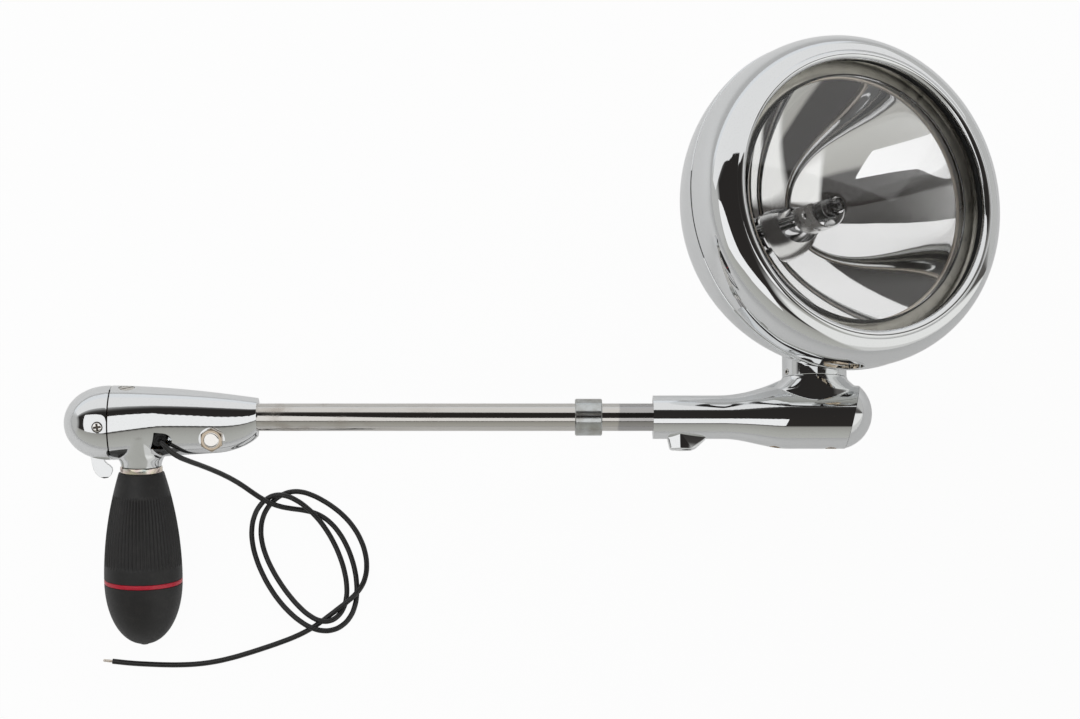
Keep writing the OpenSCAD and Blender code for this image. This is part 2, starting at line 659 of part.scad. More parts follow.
// Lamp housing, in its own frame with the lamp stem along +Y
function eased(x, x0, x1) = let (u = max(0, min(1, (x - x0) / (x1 - x0)))) u * u * (3 - 2 * u);
swell_x = lamp_face_x + 36.5;
gusset_x = lamp_face_x + 32.5;
swell_end = stem_x - 14;
function low(x) = -lamp_end_r - (lamp_belly_r - lamp_end_r) * eased(x, swell_x, swell_end);
function wide(x) = lamp_end_r + (lamp_belly_r - lamp_end_r) * eased(x, swell_x, swell_end);
function high(x) = x < gusset_x ? lamp_end_r
    : x < stem_x - neck_r ? lamp_end_r
        + (neck_h - 0.5 - lamp_end_r) * pow((x - gusset_x) / (stem_x - neck_r - gusset_x), 2)
    : neck_h - 0.5 - (neck_h - 0.5 - lamp_belly_r) * eased(x, stem_x - neck_r, ball[0]);
// The upper and the lower half of each section meet level with the post's axis
function loft_ring(x) = [for (k = [0 : loft_sides - 1]) let (a = k * 360 / loft_sides)
    [x, (cos(a) > 0 ? high(x) : -low(x)) * cos(a), wide(x) * sin(a)]];
loft_steps = 20;
module housing_loft() {
    loft_len = ball[0] + lamp_ball_r * 0.8 - lamp_face_x;
    skin([for (i = [0 : loft_steps]) loft_ring(lamp_face_x + loft_len * i / loft_steps)]);
}
module lamp_cap_side(off) {
    reach = 2 * lamp_ball_r;
    translate(ball) rotate([0, 0, -cap_slope]) translate([off, -reach, -reach]) cube([reach, 2 * reach, 2 * reach]);
}
// The neck flares along the post, and its front and back stay as wide as the neck
neck_flare = 5;
neck_flare_h = 7;
module neck() {
    translate([stem_x, 0, 0]) intersection() {
        rotate([-90, 0, 0]) rotate_extrude() polygon(concat([[0, 0], [neck_r + neck_flare, 0]],
            [for (a = [0 : 15 : 90]) [neck_r + neck_flare * (1 - sin(a)), neck_h - 0.6 - neck_flare_h * cos(a)]],
            [[neck_r, neck_h - 0.2], [neck_r - 0.2, neck_h], [0, neck_h]]));
        translate([-2 * neck_r, -eps, -neck_r]) cube([4 * neck_r, neck_h + 2 * eps, 2 * neck_r]);
    }
}
// The lug under the post is a wedge in plan, with its edge toward the housing's end
module clamp_lug() {
    intersection() {
        translate([0, 0, -lug_w]) linear_extrude(height = 2 * lug_w) polygon([
            [lug_x, -post_r - 2], [lug_x, -lamp_end_r], [lug_x + lug_len * 0.06, -lug_drop + 0.6],
            [lug_x + lug_len * 0.1, -lug_drop], [lug_x + lug_len * 0.62, -lug_drop],
            [lug_x + lug_len * 0.73, -lug_drop + 0.8], [lug_x + lug_len, -lamp_end_r],
            [lug_x + lug_len, -post_r - 2]]);
        rotate([90, 0, 0]) linear_extrude(height = lug_drop + eps) polygon([
            [lug_x, -lug_w * 0.2], [lug_x + lug_len * 0.33, -lug_w / 2], [lug_x + lug_len, -lug_w * 0.25],
            [lug_x + lug_len, lug_w * 0.25], [lug_x + lug_len * 0.33, lug_w / 2], [lug_x, lug_w * 0.2]]);
    }
}
module under_screw_place(x) { lamp_side() translate([x, low(x) + 0.4, 0]) rotate([90, 0, 0]) children(); }
module lamp_housing() {
    color("lightgray") difference() {
        lamp_side() difference() {
            union() {
                housing_loft();
                neck();
                clamp_lug();
            }
            lamp_cap_side(seam_off);
        }
        lamp_side() {
            bar_x(lamp_face_x - eps, tube_x1, post_r + fit);
            bar_x(tube_x1 - eps, lamp_room_x + eps, shaft_r + 1);
            bar_x(lamp_room_x, ball[0] + lamp_ball_r, gear_room_r + 0.4);
            translate([stem_x, 0, 0]) {
                bar_y(0, gear_back + 0.2, gear_room_r);
                bar_y(gear_back, neck_h + eps, neck_bush_r + fit);
            }
            translate([lug_screw_x, 0, 0]) bar_y(-lug_drop - eps, -post_r + eps, lug_screw_r + fit);
        }
        for (x = under_screws) under_screw_place(x) {
            translate([0, 0, -1.8]) cylinder(r = head_r + fit, h = 6);
            translate([0, 0, -4]) cylinder(r = screw_r + fit, h = 4);
        }
    }
}
module lamp_cap() {
    rim_deg = asin(seam_off / lamp_ball_r);
    inner_r = lamp_ball_r - lamp_cap_wall;
    inner_deg = asin(seam_off / inner_r);
    color("lightgray") lamp_side() translate(ball) rotate([0, 90, -cap_slope]) rotate_extrude() polygon(concat(
        [for (i = [0 : 10]) let (a = rim_deg + (90 - rim_deg) * i / 10) lamp_ball_r * [cos(a), sin(a)]],
        [for (i = [10 : -1 : 0]) let (a = inner_deg + (90 - inner_deg) * i / 10) inner_r * [cos(a), sin(a)]]));
}
module underside_screws() {
    color("peru") for (x = under_screws) under_screw_place(x) difference() {
        screw(head_r, 1.8, screw_r, 3.6);
        cross_recess(head_r * 1.2, 1);
    }
}
module lug_set_screw() {
    color("dimgray") lamp_side() translate([lug_screw_x, 0, 0]) difference() {
        bar_y(-lug_drop + 0.6, -post_r - fit, lug_screw_r);
        translate([0, -lug_drop, 0]) rotate([-90, 0, 0]) cylinder(d = lug_screw_r * 1.1, h = 3, $fn = 6);
    }
}

// Head stem and saddle
module neck_bearing() {
    color("darkgoldenrod") at_stem() tube_y(gear_back + 0.2, neck_h - 0.2, neck_bush_r, head_stem_r + fit);
}
module head_stem() {
    color("lightsteelblue") difference() {
        at_stem() tube_y(gear_front, plate_top + nut_h + 3, head_stem_r, head_stem_r - 2.4);
        stem_place() pin_hole(head_stem_r);
    }
}
module stem_gear() { color("goldenrod") stem_place() mitre_gear(head_stem_r + fit); }
module stem_pin() { color("dimgray") stem_place() roll_pin(head_stem_r + fit); }
module saddle_screw_place() {
    at_stem() translate([0, saddle_y + 2.1, 0]) rotate([0, -64, 0]) translate([0, 0, saddle_r]) children();
}
module saddle() {
    color("lightgray") difference() {
        at_stem() difference() {
            bar_y(saddle_y, bowl_bottom + 14, saddle_r);
            bar_y(saddle_y - eps, bowl_bottom + 15, head_stem_r + fit);
        }
        at_head() translate([0, 0, bowl_ahead]) sphere(r = bowl_r + 0.02, $fn = 360);
        saddle_screw_place() translate([0, 0, -saddle_r]) cylinder(r = 1.65 + fit, h = saddle_r + eps);
    }
}
module saddle_set_screw() {
    color("dimgray") saddle_screw_place() difference() {
        translate([0, 0, -saddle_r + head_stem_r + 2 * fit]) cylinder(r = 1.65, h = saddle_r - head_stem_r - 0.6);
        translate([0, 0, -2]) cylinder(d = 2, h = 3, $fn = 6);
    }
}
module saddle_plate() {
    color("dimgray") difference() {
        intersection() {
            at_stem() bar_y(bowl_bottom - 10, plate_top, saddle_r - 1);
            at_head() translate([0, 0, bowl_ahead]) sphere(r = bowl_r - bowl_wall - 0.02, $fn = 360);
        }
        at_stem() bar_y(bowl_bottom - 12, plate_top + eps, head_stem_r + fit);
    }
}
module stem_nut() {
    color("silver") at_stem() difference() {
        translate([0, plate_top, 0]) rotate([-90, 0, 0]) cylinder(r = head_stem_r + 4.2, h = nut_h, $fn = 6);
        bar_y(plate_top - eps, plate_top + nut_h + eps, head_stem_r + fit);
    }
}

// Lamp head, turned about the lamp's axis: points are [radius, distance ahead of the stem]
module head_turned(points) { at_head() rotate_extrude($fn = 120) polygon(points); }
module head_ring(r0, r1, t0, t1) { head_turned([[r0, t0], [r1, t0], [r1, t1], [r0, t1]]); }
module bowl() {
    color("lightgray") difference() {
        union() {
            at_head() difference() {
                translate([0, 0, bowl_ahead]) sphere(r = bowl_r, $fn = 120);
                translate([0, 0, bowl_ahead]) sphere(r = bowl_r - bowl_wall, $fn = 120);
                translate([-bowl_r - 1, -bowl_r - 1, seam_t]) cube(2 * bowl_r + 2);
            }
            head_turned([[flange_r - bezel_wall, seam_t - 5], [flange_r - bezel_wall, seam_t + 3],
                [flange_r, seam_t + 3], [flange_r, seam_t], [bezel_r - 0.2, seam_t], [bezel_r - 1, seam_t - 5]]);
        }
        at_stem() bar_y(bowl_bottom - 12, plate_top, head_stem_r + fit);
        pad_oval(pad_r - cup_wall - gap, 6.2 + cup_wall + gap, 20);
    }
}
// Outside of the bezel: a flat skirt, an elliptical shoulder, a crease and a rolled bead
shoulder = [for (a = [0 : 7.5 : 75]) [crease_r + (bezel_r - crease_r) * pow(cos(a), 0.9),
    shoulder_t + (crest_t - 1.2 - shoulder_t) * pow(sin(a), 0.9)]];
bead_mid = [lip_r, crest_t - bead_r];
bead = [for (a = [50 : 20 : 230]) bead_mid + bead_r * [cos(a), sin(a)]];
inside = [for (a = [75 : -7.5 : 0]) [crease_r - 0.4 + (bezel_r - bezel_wall - crease_r + 0.4) * pow(cos(a), 0.9),
    shoulder_t + (crest_t - 1.2 - bezel_wall - shoulder_t) * pow(sin(a), 0.9)]];
// The dished pad round the bezel screw is an oval cup
module pad_oval(from, r, h) {
    bezel_screw_place() hull() for (s = [-1, 1]) translate([5.4 * s, 0, from]) cylinder(r = r, h = h, $fn = 32);
}
module bezel_screw_place() { at_head() rotate([0, 0, screw_turn]) translate([0, 0, screw_t]) rotate([90, 0, 0]) children(); }
module bezel() {
    color("lightgray") difference() {
        union() {
            head_turned(concat([[bezel_r - bezel_wall, seam_t + 0.1], [bezel_r - 0.1, seam_t + 0.1]], shoulder, bead,
                [[lip_r - 0.6, crest_t - 2 * bead_r - 0.6], [crease_r - 0.8, crest_t - 2 * bead_r]], inside));
            pad_oval(pad_r - cup_wall, 6.2 + cup_wall, bezel_r - pad_r - 0.4);
            bezel_screw_place() translate([0, 0, clip_r + 0.2]) cylinder(r = 4.4, h = pad_r - clip_r);
        }
        bezel_screw_place() {
            cylinder(r = screw_r + 0.5 + fit, h = bezel_r);
        }
        pad_oval(pad_r, 6.2, 10);
    }
}
module bezel_screw() {
    color("peru") bezel_screw_place() translate([0, 0, pad_r + bezel_head_h]) difference() {
        screw(bezel_screw_d / 2, bezel_head_h, screw_r + 0.5, pad_r + bezel_head_h - clip_r + 3.4);
        slot_recess(bezel_screw_d / 2, 1.2, 1);
    }
}
module bezel_clip() {
    color("dimgray") difference() {
        bezel_screw_place() {
            translate([-6, seam_t - clip_back - screw_t, clip_r - 2.4]) cube([12, screw_t - seam_t + clip_back + 6, 2.4]);
            translate([-6, seam_t - clip_back - screw_t, clip_r - 1]) cube([12, 2.4, flange_r - bezel_wall - clip_r + 0.4]);
        }
        bezel_screw_place() cylinder(r = screw_r + 0.5 + fit, h = bezel_r);
    }
}

// Lamp: a sealed beam of two glass shells with a halogen capsule at the focus
lens_back = lens_dome - glass_wall;
function dome_t(r, big) = sqrt(pow(big, 2) - pow(r, 2)) - big;
lens_t = glass_t + lens_dome - sqrt(pow(lens_dome, 2) - pow(lip_r - 3, 2));
module lens_gasket() { color("#202020") head_ring(lip_r - 2, glass_r + 0.5, glass_t + 0.05, crest_t - 2 * bead_r - 0.7); }
module lamp_springs() {
    color("silver") at_head() for (a = [30, 150, 270]) rotate([0, 0, a + 60]) difference() {
        translate([glass_r - 3, -4, mouth_t - glass_wall - 1.3])
            cube([flange_r - bezel_wall - glass_r + 2.4, 8, 1]);
        translate([glass_r - 4, -1.5, mouth_t - glass_wall - 2]) cube([2, 3, 2]);
    }
}
module lamp_lens() {
    color([0.8, 0.9, 0.95, 0.4]) head_turned(concat(
        [for (r = [0 : (lip_r - 3) / 10 : lip_r - 2.9]) [r, lens_t + dome_t(r, lens_dome)]],
        [[glass_r, glass_t], [glass_r, mouth_t], [mirror_r, mouth_t], [mirror_r, glass_t - glass_wall]],
        [for (r = [mirror_r - 1 : -(mirror_r - 1) / 10 : -0.01]) [max(r, 0), lens_t - glass_wall + dome_t(r, lens_back)]]));
}
module lamp_reflector() {
    function mirror_t(r) = vertex_t + pow(r, 2) / (4 * mirror_focus);
    seat_r = capsule_r + 3;
    color("whitesmoke") head_turned(concat(
        [for (i = [0 : 16]) let (r = seat_r + (mirror_r - seat_r) * i / 16) [r, mirror_t(r)]],
        [[glass_r, mouth_t], [glass_r, mouth_t - glass_wall], [mirror_r + 4, mouth_t - glass_wall]],
        [for (i = [15 : -1 : 0]) let (r = seat_r + (mirror_r - seat_r) * i / 16) [r + glass_wall * 0.8, mirror_t(r) - glass_wall]]));
}
module lamp_insulator() {
    color("linen") head_ring(0, capsule_r + 3 - fit, vertex_t - 2.4, vertex_t + 2);
}
capsule_t = vertex_t + 3.4;
module lamp_capsule() {
    tip = capsule_t + capsule_len - capsule_r;
    color([0.85, 0.9, 0.95, 0.5]) head_turned(concat(
        [[0, capsule_t], [capsule_r - 1.6, capsule_t], [capsule_r, capsule_t + 4]],
        [for (a = [0 : 15 : 90]) [capsule_r * cos(a), tip + capsule_r * sin(a)]],
        [[0, tip + capsule_r - 1], [capsule_r - 1, tip], [capsule_r - 1, capsule_t + 6], [0, capsule_t + 6]]));
}
module lamp_filament() {
    color("gray") at_head() {
        translate([0, 0, capsule_t + 6.02]) for (s = [-1, 1]) translate([3 * s, 0, 0]) cylinder(r = 0.4, h = 6);
        translate([-3.4, 0, capsule_t + 12]) rotate([0, 90, 0]) cylinder(r = 0.9, h = 6.8);
    }
}
module lamp_shield() {
    color("silver") head_ring(capsule_r + 0.3, capsule_r + 1.1, capsule_t + 7, capsule_t + 15);
}
module lamp_supports() {
    color("silver") at_head() for (s = [0, 180]) rotate([0, 0, s + 40]) translate([capsule_r + 1.9, 0, vertex_t + 2])
        cylinder(r = 0.75, h = capsule_t - vertex_t + 13);
}
module lamp_terminals() {
    color("goldenrod") at_head() for (s = [-1, 1]) translate([5 * s, 0, vertex_t - 2.4 - 9])
        cylinder(r = 2.2, h = 9);
}

post_tube();
split_bush();
post_bearings();
drive_shaft();
control_drive_gear();
lamp_drive_gear();
drive_pins();
control_housing();
control_cap();
cap_screws();
top_screw();
pinch_bolt();
pinch_nut();
switch_body();
switch_lever();
lever_pivot_pin();
handle_bearing();
handle_stem();
handle_gear();
handle_pin();
handle_ferrule();
grip_upper();
grip_band();
grip_lower();
grip_plug();
cord_grommet();
supply_cord();
cord_wire_end();
lamp_housing();
lamp_cap();
underside_screws();
lug_set_screw();
neck_bearing();
head_stem();
stem_gear();
stem_pin();
saddle();
saddle_set_screw();
saddle_plate();
stem_nut();
bowl();
bezel();
bezel_screw();
bezel_clip();
lens_gasket();
lamp_springs();
lamp_lens();
lamp_reflector();
lamp_capsule();
lamp_filament();
lamp_shield();
lamp_supports();
lamp_insulator();
lamp_terminals();
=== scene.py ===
import bpy
import math
from mathutils import Matrix, Vector


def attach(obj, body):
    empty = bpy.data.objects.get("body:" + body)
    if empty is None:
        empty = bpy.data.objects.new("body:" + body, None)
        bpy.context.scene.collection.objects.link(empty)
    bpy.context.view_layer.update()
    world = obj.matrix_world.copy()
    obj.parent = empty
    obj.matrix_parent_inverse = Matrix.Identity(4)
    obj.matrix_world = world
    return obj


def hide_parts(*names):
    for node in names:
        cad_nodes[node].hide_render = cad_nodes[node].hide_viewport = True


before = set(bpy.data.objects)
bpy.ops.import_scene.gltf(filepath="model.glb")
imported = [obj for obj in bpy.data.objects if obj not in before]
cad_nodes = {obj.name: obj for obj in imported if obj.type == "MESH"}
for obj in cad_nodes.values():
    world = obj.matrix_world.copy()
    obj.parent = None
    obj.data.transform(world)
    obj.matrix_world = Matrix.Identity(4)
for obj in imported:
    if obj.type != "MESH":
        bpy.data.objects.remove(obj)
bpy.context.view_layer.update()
mm = 0.001

# Camera
# The photograph looks down on the light as it lies on a table, a little from the handle's side,
# with a long lens, so the post runs level across the picture.
camera_tilt = math.radians(10.75)
to_camera = Vector((0, -math.sin(camera_tilt), math.cos(camera_tilt)))
camera_aim = Vector((-25.2, 29.5, 5.6)) * mm
camera_distance = 1.378
camera_data = bpy.data.cameras.new("camera")
camera_data.sensor_width = 36
camera_data.lens = 88.33
camera = bpy.data.objects.new("camera", camera_data)
camera.location = camera_aim + to_camera * camera_distance
camera.rotation_euler = (camera_tilt, 0, 0)
bpy.context.collection.objects.link(camera)
bpy.context.scene.camera = camera


# Supply cord
# A thin black two-core cord comes out of the control housing, drops to the table, lies there in a
# loose double loop and ends in a short stripped and tinned stretch.
class Value:
    """A shader value: arithmetic on it adds Math nodes."""

    def __init__(self, tree, socket):
        self.tree = tree
        self.socket = socket

    def join(self, operation, first, second):
        node = self.tree.nodes.new("ShaderNodeMath")
        node.operation = operation
        for socket, value in zip(node.inputs, (first, second)):
            if isinstance(value, Value):
                self.tree.links.new(value.socket, socket)
            else:
                socket.default_value = value
        return Value(self.tree, node.outputs[0])

    def __add__(self, other):
        return self.join("ADD", self, other)

    def __mul__(self, other):
        return self.join("MULTIPLY", self, other)


class Finish:
    """A material or the world: node() adds a node, feed() links a value to the shader, and a value
    drives the colour with tint(), the roughness with gloss() and the bumps with relief()."""

    def __init__(self, name, colour=(0.8, 0.8, 0.8), **sockets):
        self.material = bpy.data.materials.new(name)
        self.material.use_nodes = True
        self.tree = self.material.node_tree
        self.shader = self.tree.nodes["Principled BSDF"]
        self.shader.inputs["Base Color"].default_value = (*colour, 1)
        for key, value in sockets.items():
            self.shader.inputs[key.replace("_", " ").title()].default_value = value

    def node(self, kind, settings=None, inputs=None, out=0):
        node = self.tree.nodes.new("ShaderNode" + kind)
        for key, value in (settings or {}).items():
            if key == "stops":
                elements = node.color_ramp.elements
                elements[0].position, elements[0].color = value[0]
                elements[-1].position, elements[-1].color = value[-1]
                for place, colour in value[1:-1]:
                    elements.new(place).color = colour
            else:
                setattr(node, key, value)
        for key, value in (inputs or {}).items():
            if isinstance(value, Value):
                self.tree.links.new(value.socket, node.inputs[key])
            else:
                node.inputs[key].default_value = value
        return Value(self.tree, node.outputs[out])

    def feed(self, socket, value):
        self.tree.links.new(value.socket, self.shader.inputs[socket])

    def noise(self, scale, detail, stretch=(1, 1, 1)):
        place = self.node("TexCoord", out="Object")
        place = self.node("Mapping", inputs={"Vector": place, "Scale": stretch})
        return self.node("TexNoise", inputs={"Vector": place, "Scale": scale, "Detail": detail})

    def between(self, value, low, high):
        return self.node("MapRange", inputs={"Value": value, "From Min": low, "From Max": high})

    def mixed(self, factor, first, second):
        colours = {6: (*first, 1) if isinstance(first, tuple) else first,
                   7: (*second, 1) if isinstance(second, tuple) else second}
        return self.node("Mix", {"data_type": "RGBA"}, {0: factor, **colours}, out=2)

    def tint(self, value, low, high, first, second):
        self.feed("Base Color", self.mixed(self.between(value, low, high), first, second))

    def gloss(self, value, low, high, span, least):
        self.feed("Roughness", self.between(value, low, high) * span + least)

    def relief(self, height, strength, distance):
        self.feed("Normal", self.node("Bump", inputs={
            "Height": height, "Strength": strength, "Distance": distance * mm}))


def finish_piece(piece, body, slot, finish, *replaced):
    """Gives a piece its material, the body that it moves with and the nodes that it stands for."""
    piece.data.materials.clear()
    piece.data.materials.append(finish.material)
    if replaced:
        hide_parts(*replaced)
    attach(piece, body)


def shifted(x, y, z):
    """A move, in millimetres."""
    return Matrix.Translation((x * mm, y * mm, z * mm))


def rotated(degrees, axis):
    """A turn about one axis."""
    return Matrix.Rotation(math.radians(degrees), 4, axis)


control_side = rotated(18, "X")
handle_x = -233.0
port_at = Vector((handle_x + 10.1, -9.4, 8.7))
port_turn = rotated(29, "Y") @ rotated(17, "X")
port_frame = Matrix.Translation(port_at * mm) @ port_turn
port_place = control_side @ port_frame
cord_route = [
    (-216, -21, 10), (-213, -22, 5), (-209, -22, -2), (-204, -23, -11), (-198, -24, -21),
    (-192, -26, -30), (-187, -28, -36), (-183, -30, -39), (-179, -34, -40), (-174, -37, -41),
    (-169, -40, -41.5), (-164, -42, -44), (-158, -42, -46), (-152, -42, -46), (-146, -43, -46),
    (-141, -45, -46), (-136, -49, -46), (-132, -54, -46), (-128, -60, -46), (-125, -68, -46),
    (-123, -75, -46), (-122, -81, -46), (-122, -88, -46), (-122, -95, -46), (-125, -101, -46),
    (-129, -105, -46), (-134, -108, -45.5), (-140, -109, -43), (-146, -107, -41.5), (-152, -103, -43),
    (-158, -98, -46), (-164, -92, -46), (-169, -85, -46), (-173, -77, -46), (-177, -69, -46),
    (-180, -60, -46), (-180, -52, -46), (-179, -45, -46), (-176, -39, -46), (-171, -35, -44.5),
    (-166, -33, -42), (-161, -34, -41.5), (-155, -37, -41.5), (-149, -41, -41.5), (-144, -46, -42.5),
    (-139, -52, -45.5), (-135, -59, -46), (-131, -67, -46), (-128, -76, -46), (-127, -84, -46),
    (-127, -90, -46), (-128, -96, -46), (-132, -101, -45.5), (-136, -104, -43), (-141, -104, -41.5),
    (-147, -101, -42.5), (-153, -95, -45.5), (-158, -89, -46), (-163, -83, -46), (-168, -75, -46),
    (-172, -67, -46), (-175, -59, -46), (-175, -52, -46), (-174, -46, -46), (-172, -41, -46),
    (-168, -37, -46), (-164, -34, -46), (-159, -31, -46), (-153, -31, -46), (-147, -34, -46),
    (-141, -37, -46), (-135, -41, -46), (-129, -45, -46), (-124, -51, -46), (-120, -58, -46),
    (-117, -65, -46), (-116, -73, -46), (-117, -80, -44.5), (-119, -85, -42), (-123, -89, -41.5),
    (-127, -92, -42), (-132, -95, -44.5), (-137, -99, -46), (-142, -103, -46), (-147, -107, -46),
    (-153, -110, -46), (-162, -113, -46), (-171, -116, -46), (-180, -119, -46), (-189, -122, -46),
    (-198, -124, -46), (-206, -125, -46), (-214, -125, -46), (-222, -125, -46), (-231, -125, -46),
    (-241, -124, -46), (-251, -123, -46)]
cord_r = 1.4
cord_points = [port_place @ Vector((0, 0, out * mm)) for out in (4, 6.5)]
cord_points += [Vector(point) * mm for point in cord_route]
for smoothing in range(3):
    cord_points[2:-2] = [(before + 2 * point + after) / 4 for before, point, after in zip(
        cord_points[1:], cord_points[2:-2], cord_points[3:])]
cord_curve = bpy.data.curves.new("supply_cord", "CURVE")
cord_curve.dimensions = "3D"
cord_curve.bevel_depth = cord_r * mm
cord_curve.bevel_resolution = 5
cord_curve.resolution_u = 5
cord_curve.use_fill_caps = True
cord_line = cord_curve.splines.new("BEZIER")
cord_line.bezier_points.add(len(cord_points) - 1)
for knot, point in zip(cord_line.bezier_points, cord_points):
    knot.co = point
    knot.handle_left_type = "AUTO"
    knot.handle_right_type = "AUTO"
supply_cord = bpy.data.objects.new("cord_sheath", cord_curve)
bpy.context.collection.objects.link(supply_cord)

cord_finish = Finish("black cord sheath", (0.028, 0.027, 0.027), roughness=0.42)
cord_dust = cord_finish.noise(600, 3)
cord_finish.tint(cord_dust, 0.4, 0.75, (0.014, 0.0135, 0.0135), (0.024, 0.023, 0.022))
cord_finish.gloss(cord_dust, 0.2, 0.9, 0.12, 0.26)
cord_finish.relief(cord_dust, 0.05, 0.06)
finish_piece(supply_cord, "post", "black_rubber", cord_finish, "supply_cord")


def rest_selection():
    """Leaves edit mode and deselects all objects."""
    if bpy.context.object and bpy.context.object.mode != "OBJECT":
        bpy.ops.object.mode_set(mode="OBJECT")
    bpy.ops.object.select_all(action="DESELECT")


def started(name, add, **settings):
    """Adds one of the plain meshes and names it."""
    rest_selection()
    add(**settings)
    bpy.context.object.name = name
    return bpy.context.object


def only(piece):
    """Makes a piece the only selected one."""
    rest_selection()
    piece.select_set(True)
    bpy.context.view_layer.objects.active = piece


def settle(piece, place):
    """Puts a piece in its place and moves that place into its mesh."""
    piece.matrix_world = place
    only(piece)
    bpy.ops.object.transform_apply(location=True, rotation=True, scale=True)


def softened(piece, angle):
    """Smooth shading, with edges sharper than the angle left crisp."""
    only(piece)
    bpy.ops.object.shade_smooth_by_angle(angle=math.radians(angle))
    return piece


def seated(piece, place, angle=40):
    """Puts a piece in its place and softens its shading."""
    settle(piece, place)
    return softened(piece, angle)


def applied(piece, kind, **settings):
    """Adds a modifier with these settings and applies it."""
    only(piece)
    change = piece.modifiers.new(kind.lower(), kind)
    for key, value in settings.items():
        setattr(change, key, value)
    bpy.ops.object.modifier_apply(modifier=change.name)


def turned(name, profile, place=Matrix(), steps=144):
    """A turned piece: a profile of (radius, height) points is drawn by extruding and spun about Z."""
    piece = started(name, bpy.ops.mesh.primitive_circle_add, vertices=3, radius=mm)
    bpy.ops.object.mode_set(mode="EDIT")
    bpy.ops.mesh.select_all(action="SELECT")
    bpy.ops.mesh.merge(type="CENTER")
    bpy.ops.transform.translate(value=(profile[0][0] * mm, 0, profile[0][1] * mm))
    for (r1, z1), (r2, z2) in zip(profile, profile[1:]):
        bpy.ops.mesh.extrude_region_move(
            TRANSFORM_OT_translate={"value": ((r2 - r1) * mm, 0, (z2 - z1) * mm)})
    bpy.ops.mesh.select_all(action="SELECT")
    bpy.ops.mesh.spin(steps=steps, angle=2 * math.pi, center=(0, 0, 0), axis=(0, 0, 1))
    bpy.ops.mesh.select_all(action="SELECT")
    bpy.ops.mesh.remove_doubles(threshold=0.004 * mm)
    bpy.ops.mesh.normals_make_consistent(inside=False)
    bpy.ops.object.mode_set(mode="OBJECT")
    return seated(piece, place, 35)


def ring(name, profile, place=Matrix(), steps=144):
    """A turned piece whose profile comes back to its first point."""
    return turned(name, profile + profile[:1], place, steps)


wire_start = cord_points[-1]
wire_way = (cord_points[-1] - cord_points[-2]).normalized()
wire_place = Matrix.Translation(wire_start) @ wire_way.to_track_quat("Z", "Y").to_matrix().to_4x4()
wire_profile = [(0, 0), (0.74, 0), (0.76, 0.6), (0.76, 1.4), (0.76, 2.2), (0.75, 3), (0.74, 3.8),
                (0.7, 4.5), (0.55, 4.9), (0, 5)]
strand_count, strand_lay, strand_depth = 6, 0.9, 0.16
cord_wire = turned("tinned_wire_end", wire_profile, steps=42)
for corner in cord_wire.data.vertices:
    around = math.atan2(corner.co.y, corner.co.x) + corner.co.z / mm * strand_lay
    squeeze = 1 - strand_depth * (0.5 - 0.5 * math.cos(strand_count * around)) ** 0.7
    corner.co.x *= squeeze
    corner.co.y *= squeeze
seated(cord_wire, wire_place, 60)
tinned_finish = Finish("tinned copper strands", (0.74, 0.7, 0.62), metallic=1, roughness=0.34)
tinned_grain = tinned_finish.noise(2600, 3)
tinned_finish.tint(tinned_grain, 0.4, 0.75, (0.78, 0.76, 0.72), (0.62, 0.44, 0.28))
finish_piece(cord_wire, "post", "steel", tinned_finish, "cord_wire_end")


# Post tube
# A plated steel tube between the two housings, gripped inside both. Its plating is dulled by
# handling: fine scratches run round it and rubbed patches show near the control end. A stretch by
# the lamp housing is coloured a darker grey.
def plated(name, colour, low, high, scale, wave=0.0):
    """Bright plating: colour and gloss drift a little, and a faint wave breaks long reflections."""
    finish = Finish(name, colour, metallic=1, roughness=low)
    cloud = finish.noise(scale, 5)
    speck = finish.noise(1500, 2)
    finish.gloss(cloud, 0.3, 0.75, high - low, low)
    dulled = tuple(0.93 * part for part in colour)
    finish.tint(speck, 0.55, 0.8, colour, dulled)
    if wave:
        finish.relief(cloud, 0.25, wave)
    return finish


along_x = rotated(90, "Y")
tube_from, tube_to, tube_r, tube_bore = -204.9, 89.5, 7.15, 5.55
post_tube = ring("post_tube_plated", [
    (tube_bore, tube_from), (tube_r - 0.3, tube_from), (tube_r, tube_from + 0.3), (tube_r, -60),
    (tube_r, 20), (tube_r, tube_to - 0.3), (tube_r - 0.3, tube_to), (tube_bore, tube_to)],
    along_x, 192)
post_finish = Finish("handled post plating", (0.66, 0.64, 0.61), metallic=1, roughness=0.1)
scuff_cloud = post_finish.noise(90, 6, stretch=(0.5, 1, 1))
hair_lines = post_finish.noise(420, 4, stretch=(9, 0.6, 0.6))
post_x = post_finish.node("SeparateXYZ", inputs={"Vector": post_finish.node("TexCoord", out="Object")})
rubbed = post_finish.between(scuff_cloud, 0.5, 0.68) * post_finish.between(post_x, -0.06, -0.15)
post_finish.feed("Roughness", post_finish.between(hair_lines, 0.25, 0.85) * 0.11 + 0.03 + rubbed * 0.25)
# From about 18 mm on, towards the lamp housing, the tube's colour is made a darker grey.
grey_stretch = post_finish.between(post_x + scuff_cloud * 0.004, 0.0172, 0.0182)
handled = post_finish.mixed(rubbed * 0.75, (0.66, 0.64, 0.61), (0.46, 0.41, 0.36))
post_finish.tint(grey_stretch * 0.85, 0, 1, handled, (0.42, 0.41, 0.41))
post_finish.relief(hair_lines, 0.06, 0.08)
finish_piece(post_tube, "post", "chrome", post_finish, "post_tube")


# Split bush
# A split zinc ring that sits on the post where a bracket clamps it. It is turned from bar, slit
# through along one side and left matte, so it can close on the post.
def joined(name, pieces):
    """Joins several meshes into one object."""
    rest_selection()
    for piece in pieces:
        piece.select_set(True)
    bpy.context.view_layer.objects.active = pieces[0]
    bpy.ops.object.join()
    pieces[0].name = name
    return pieces[0]


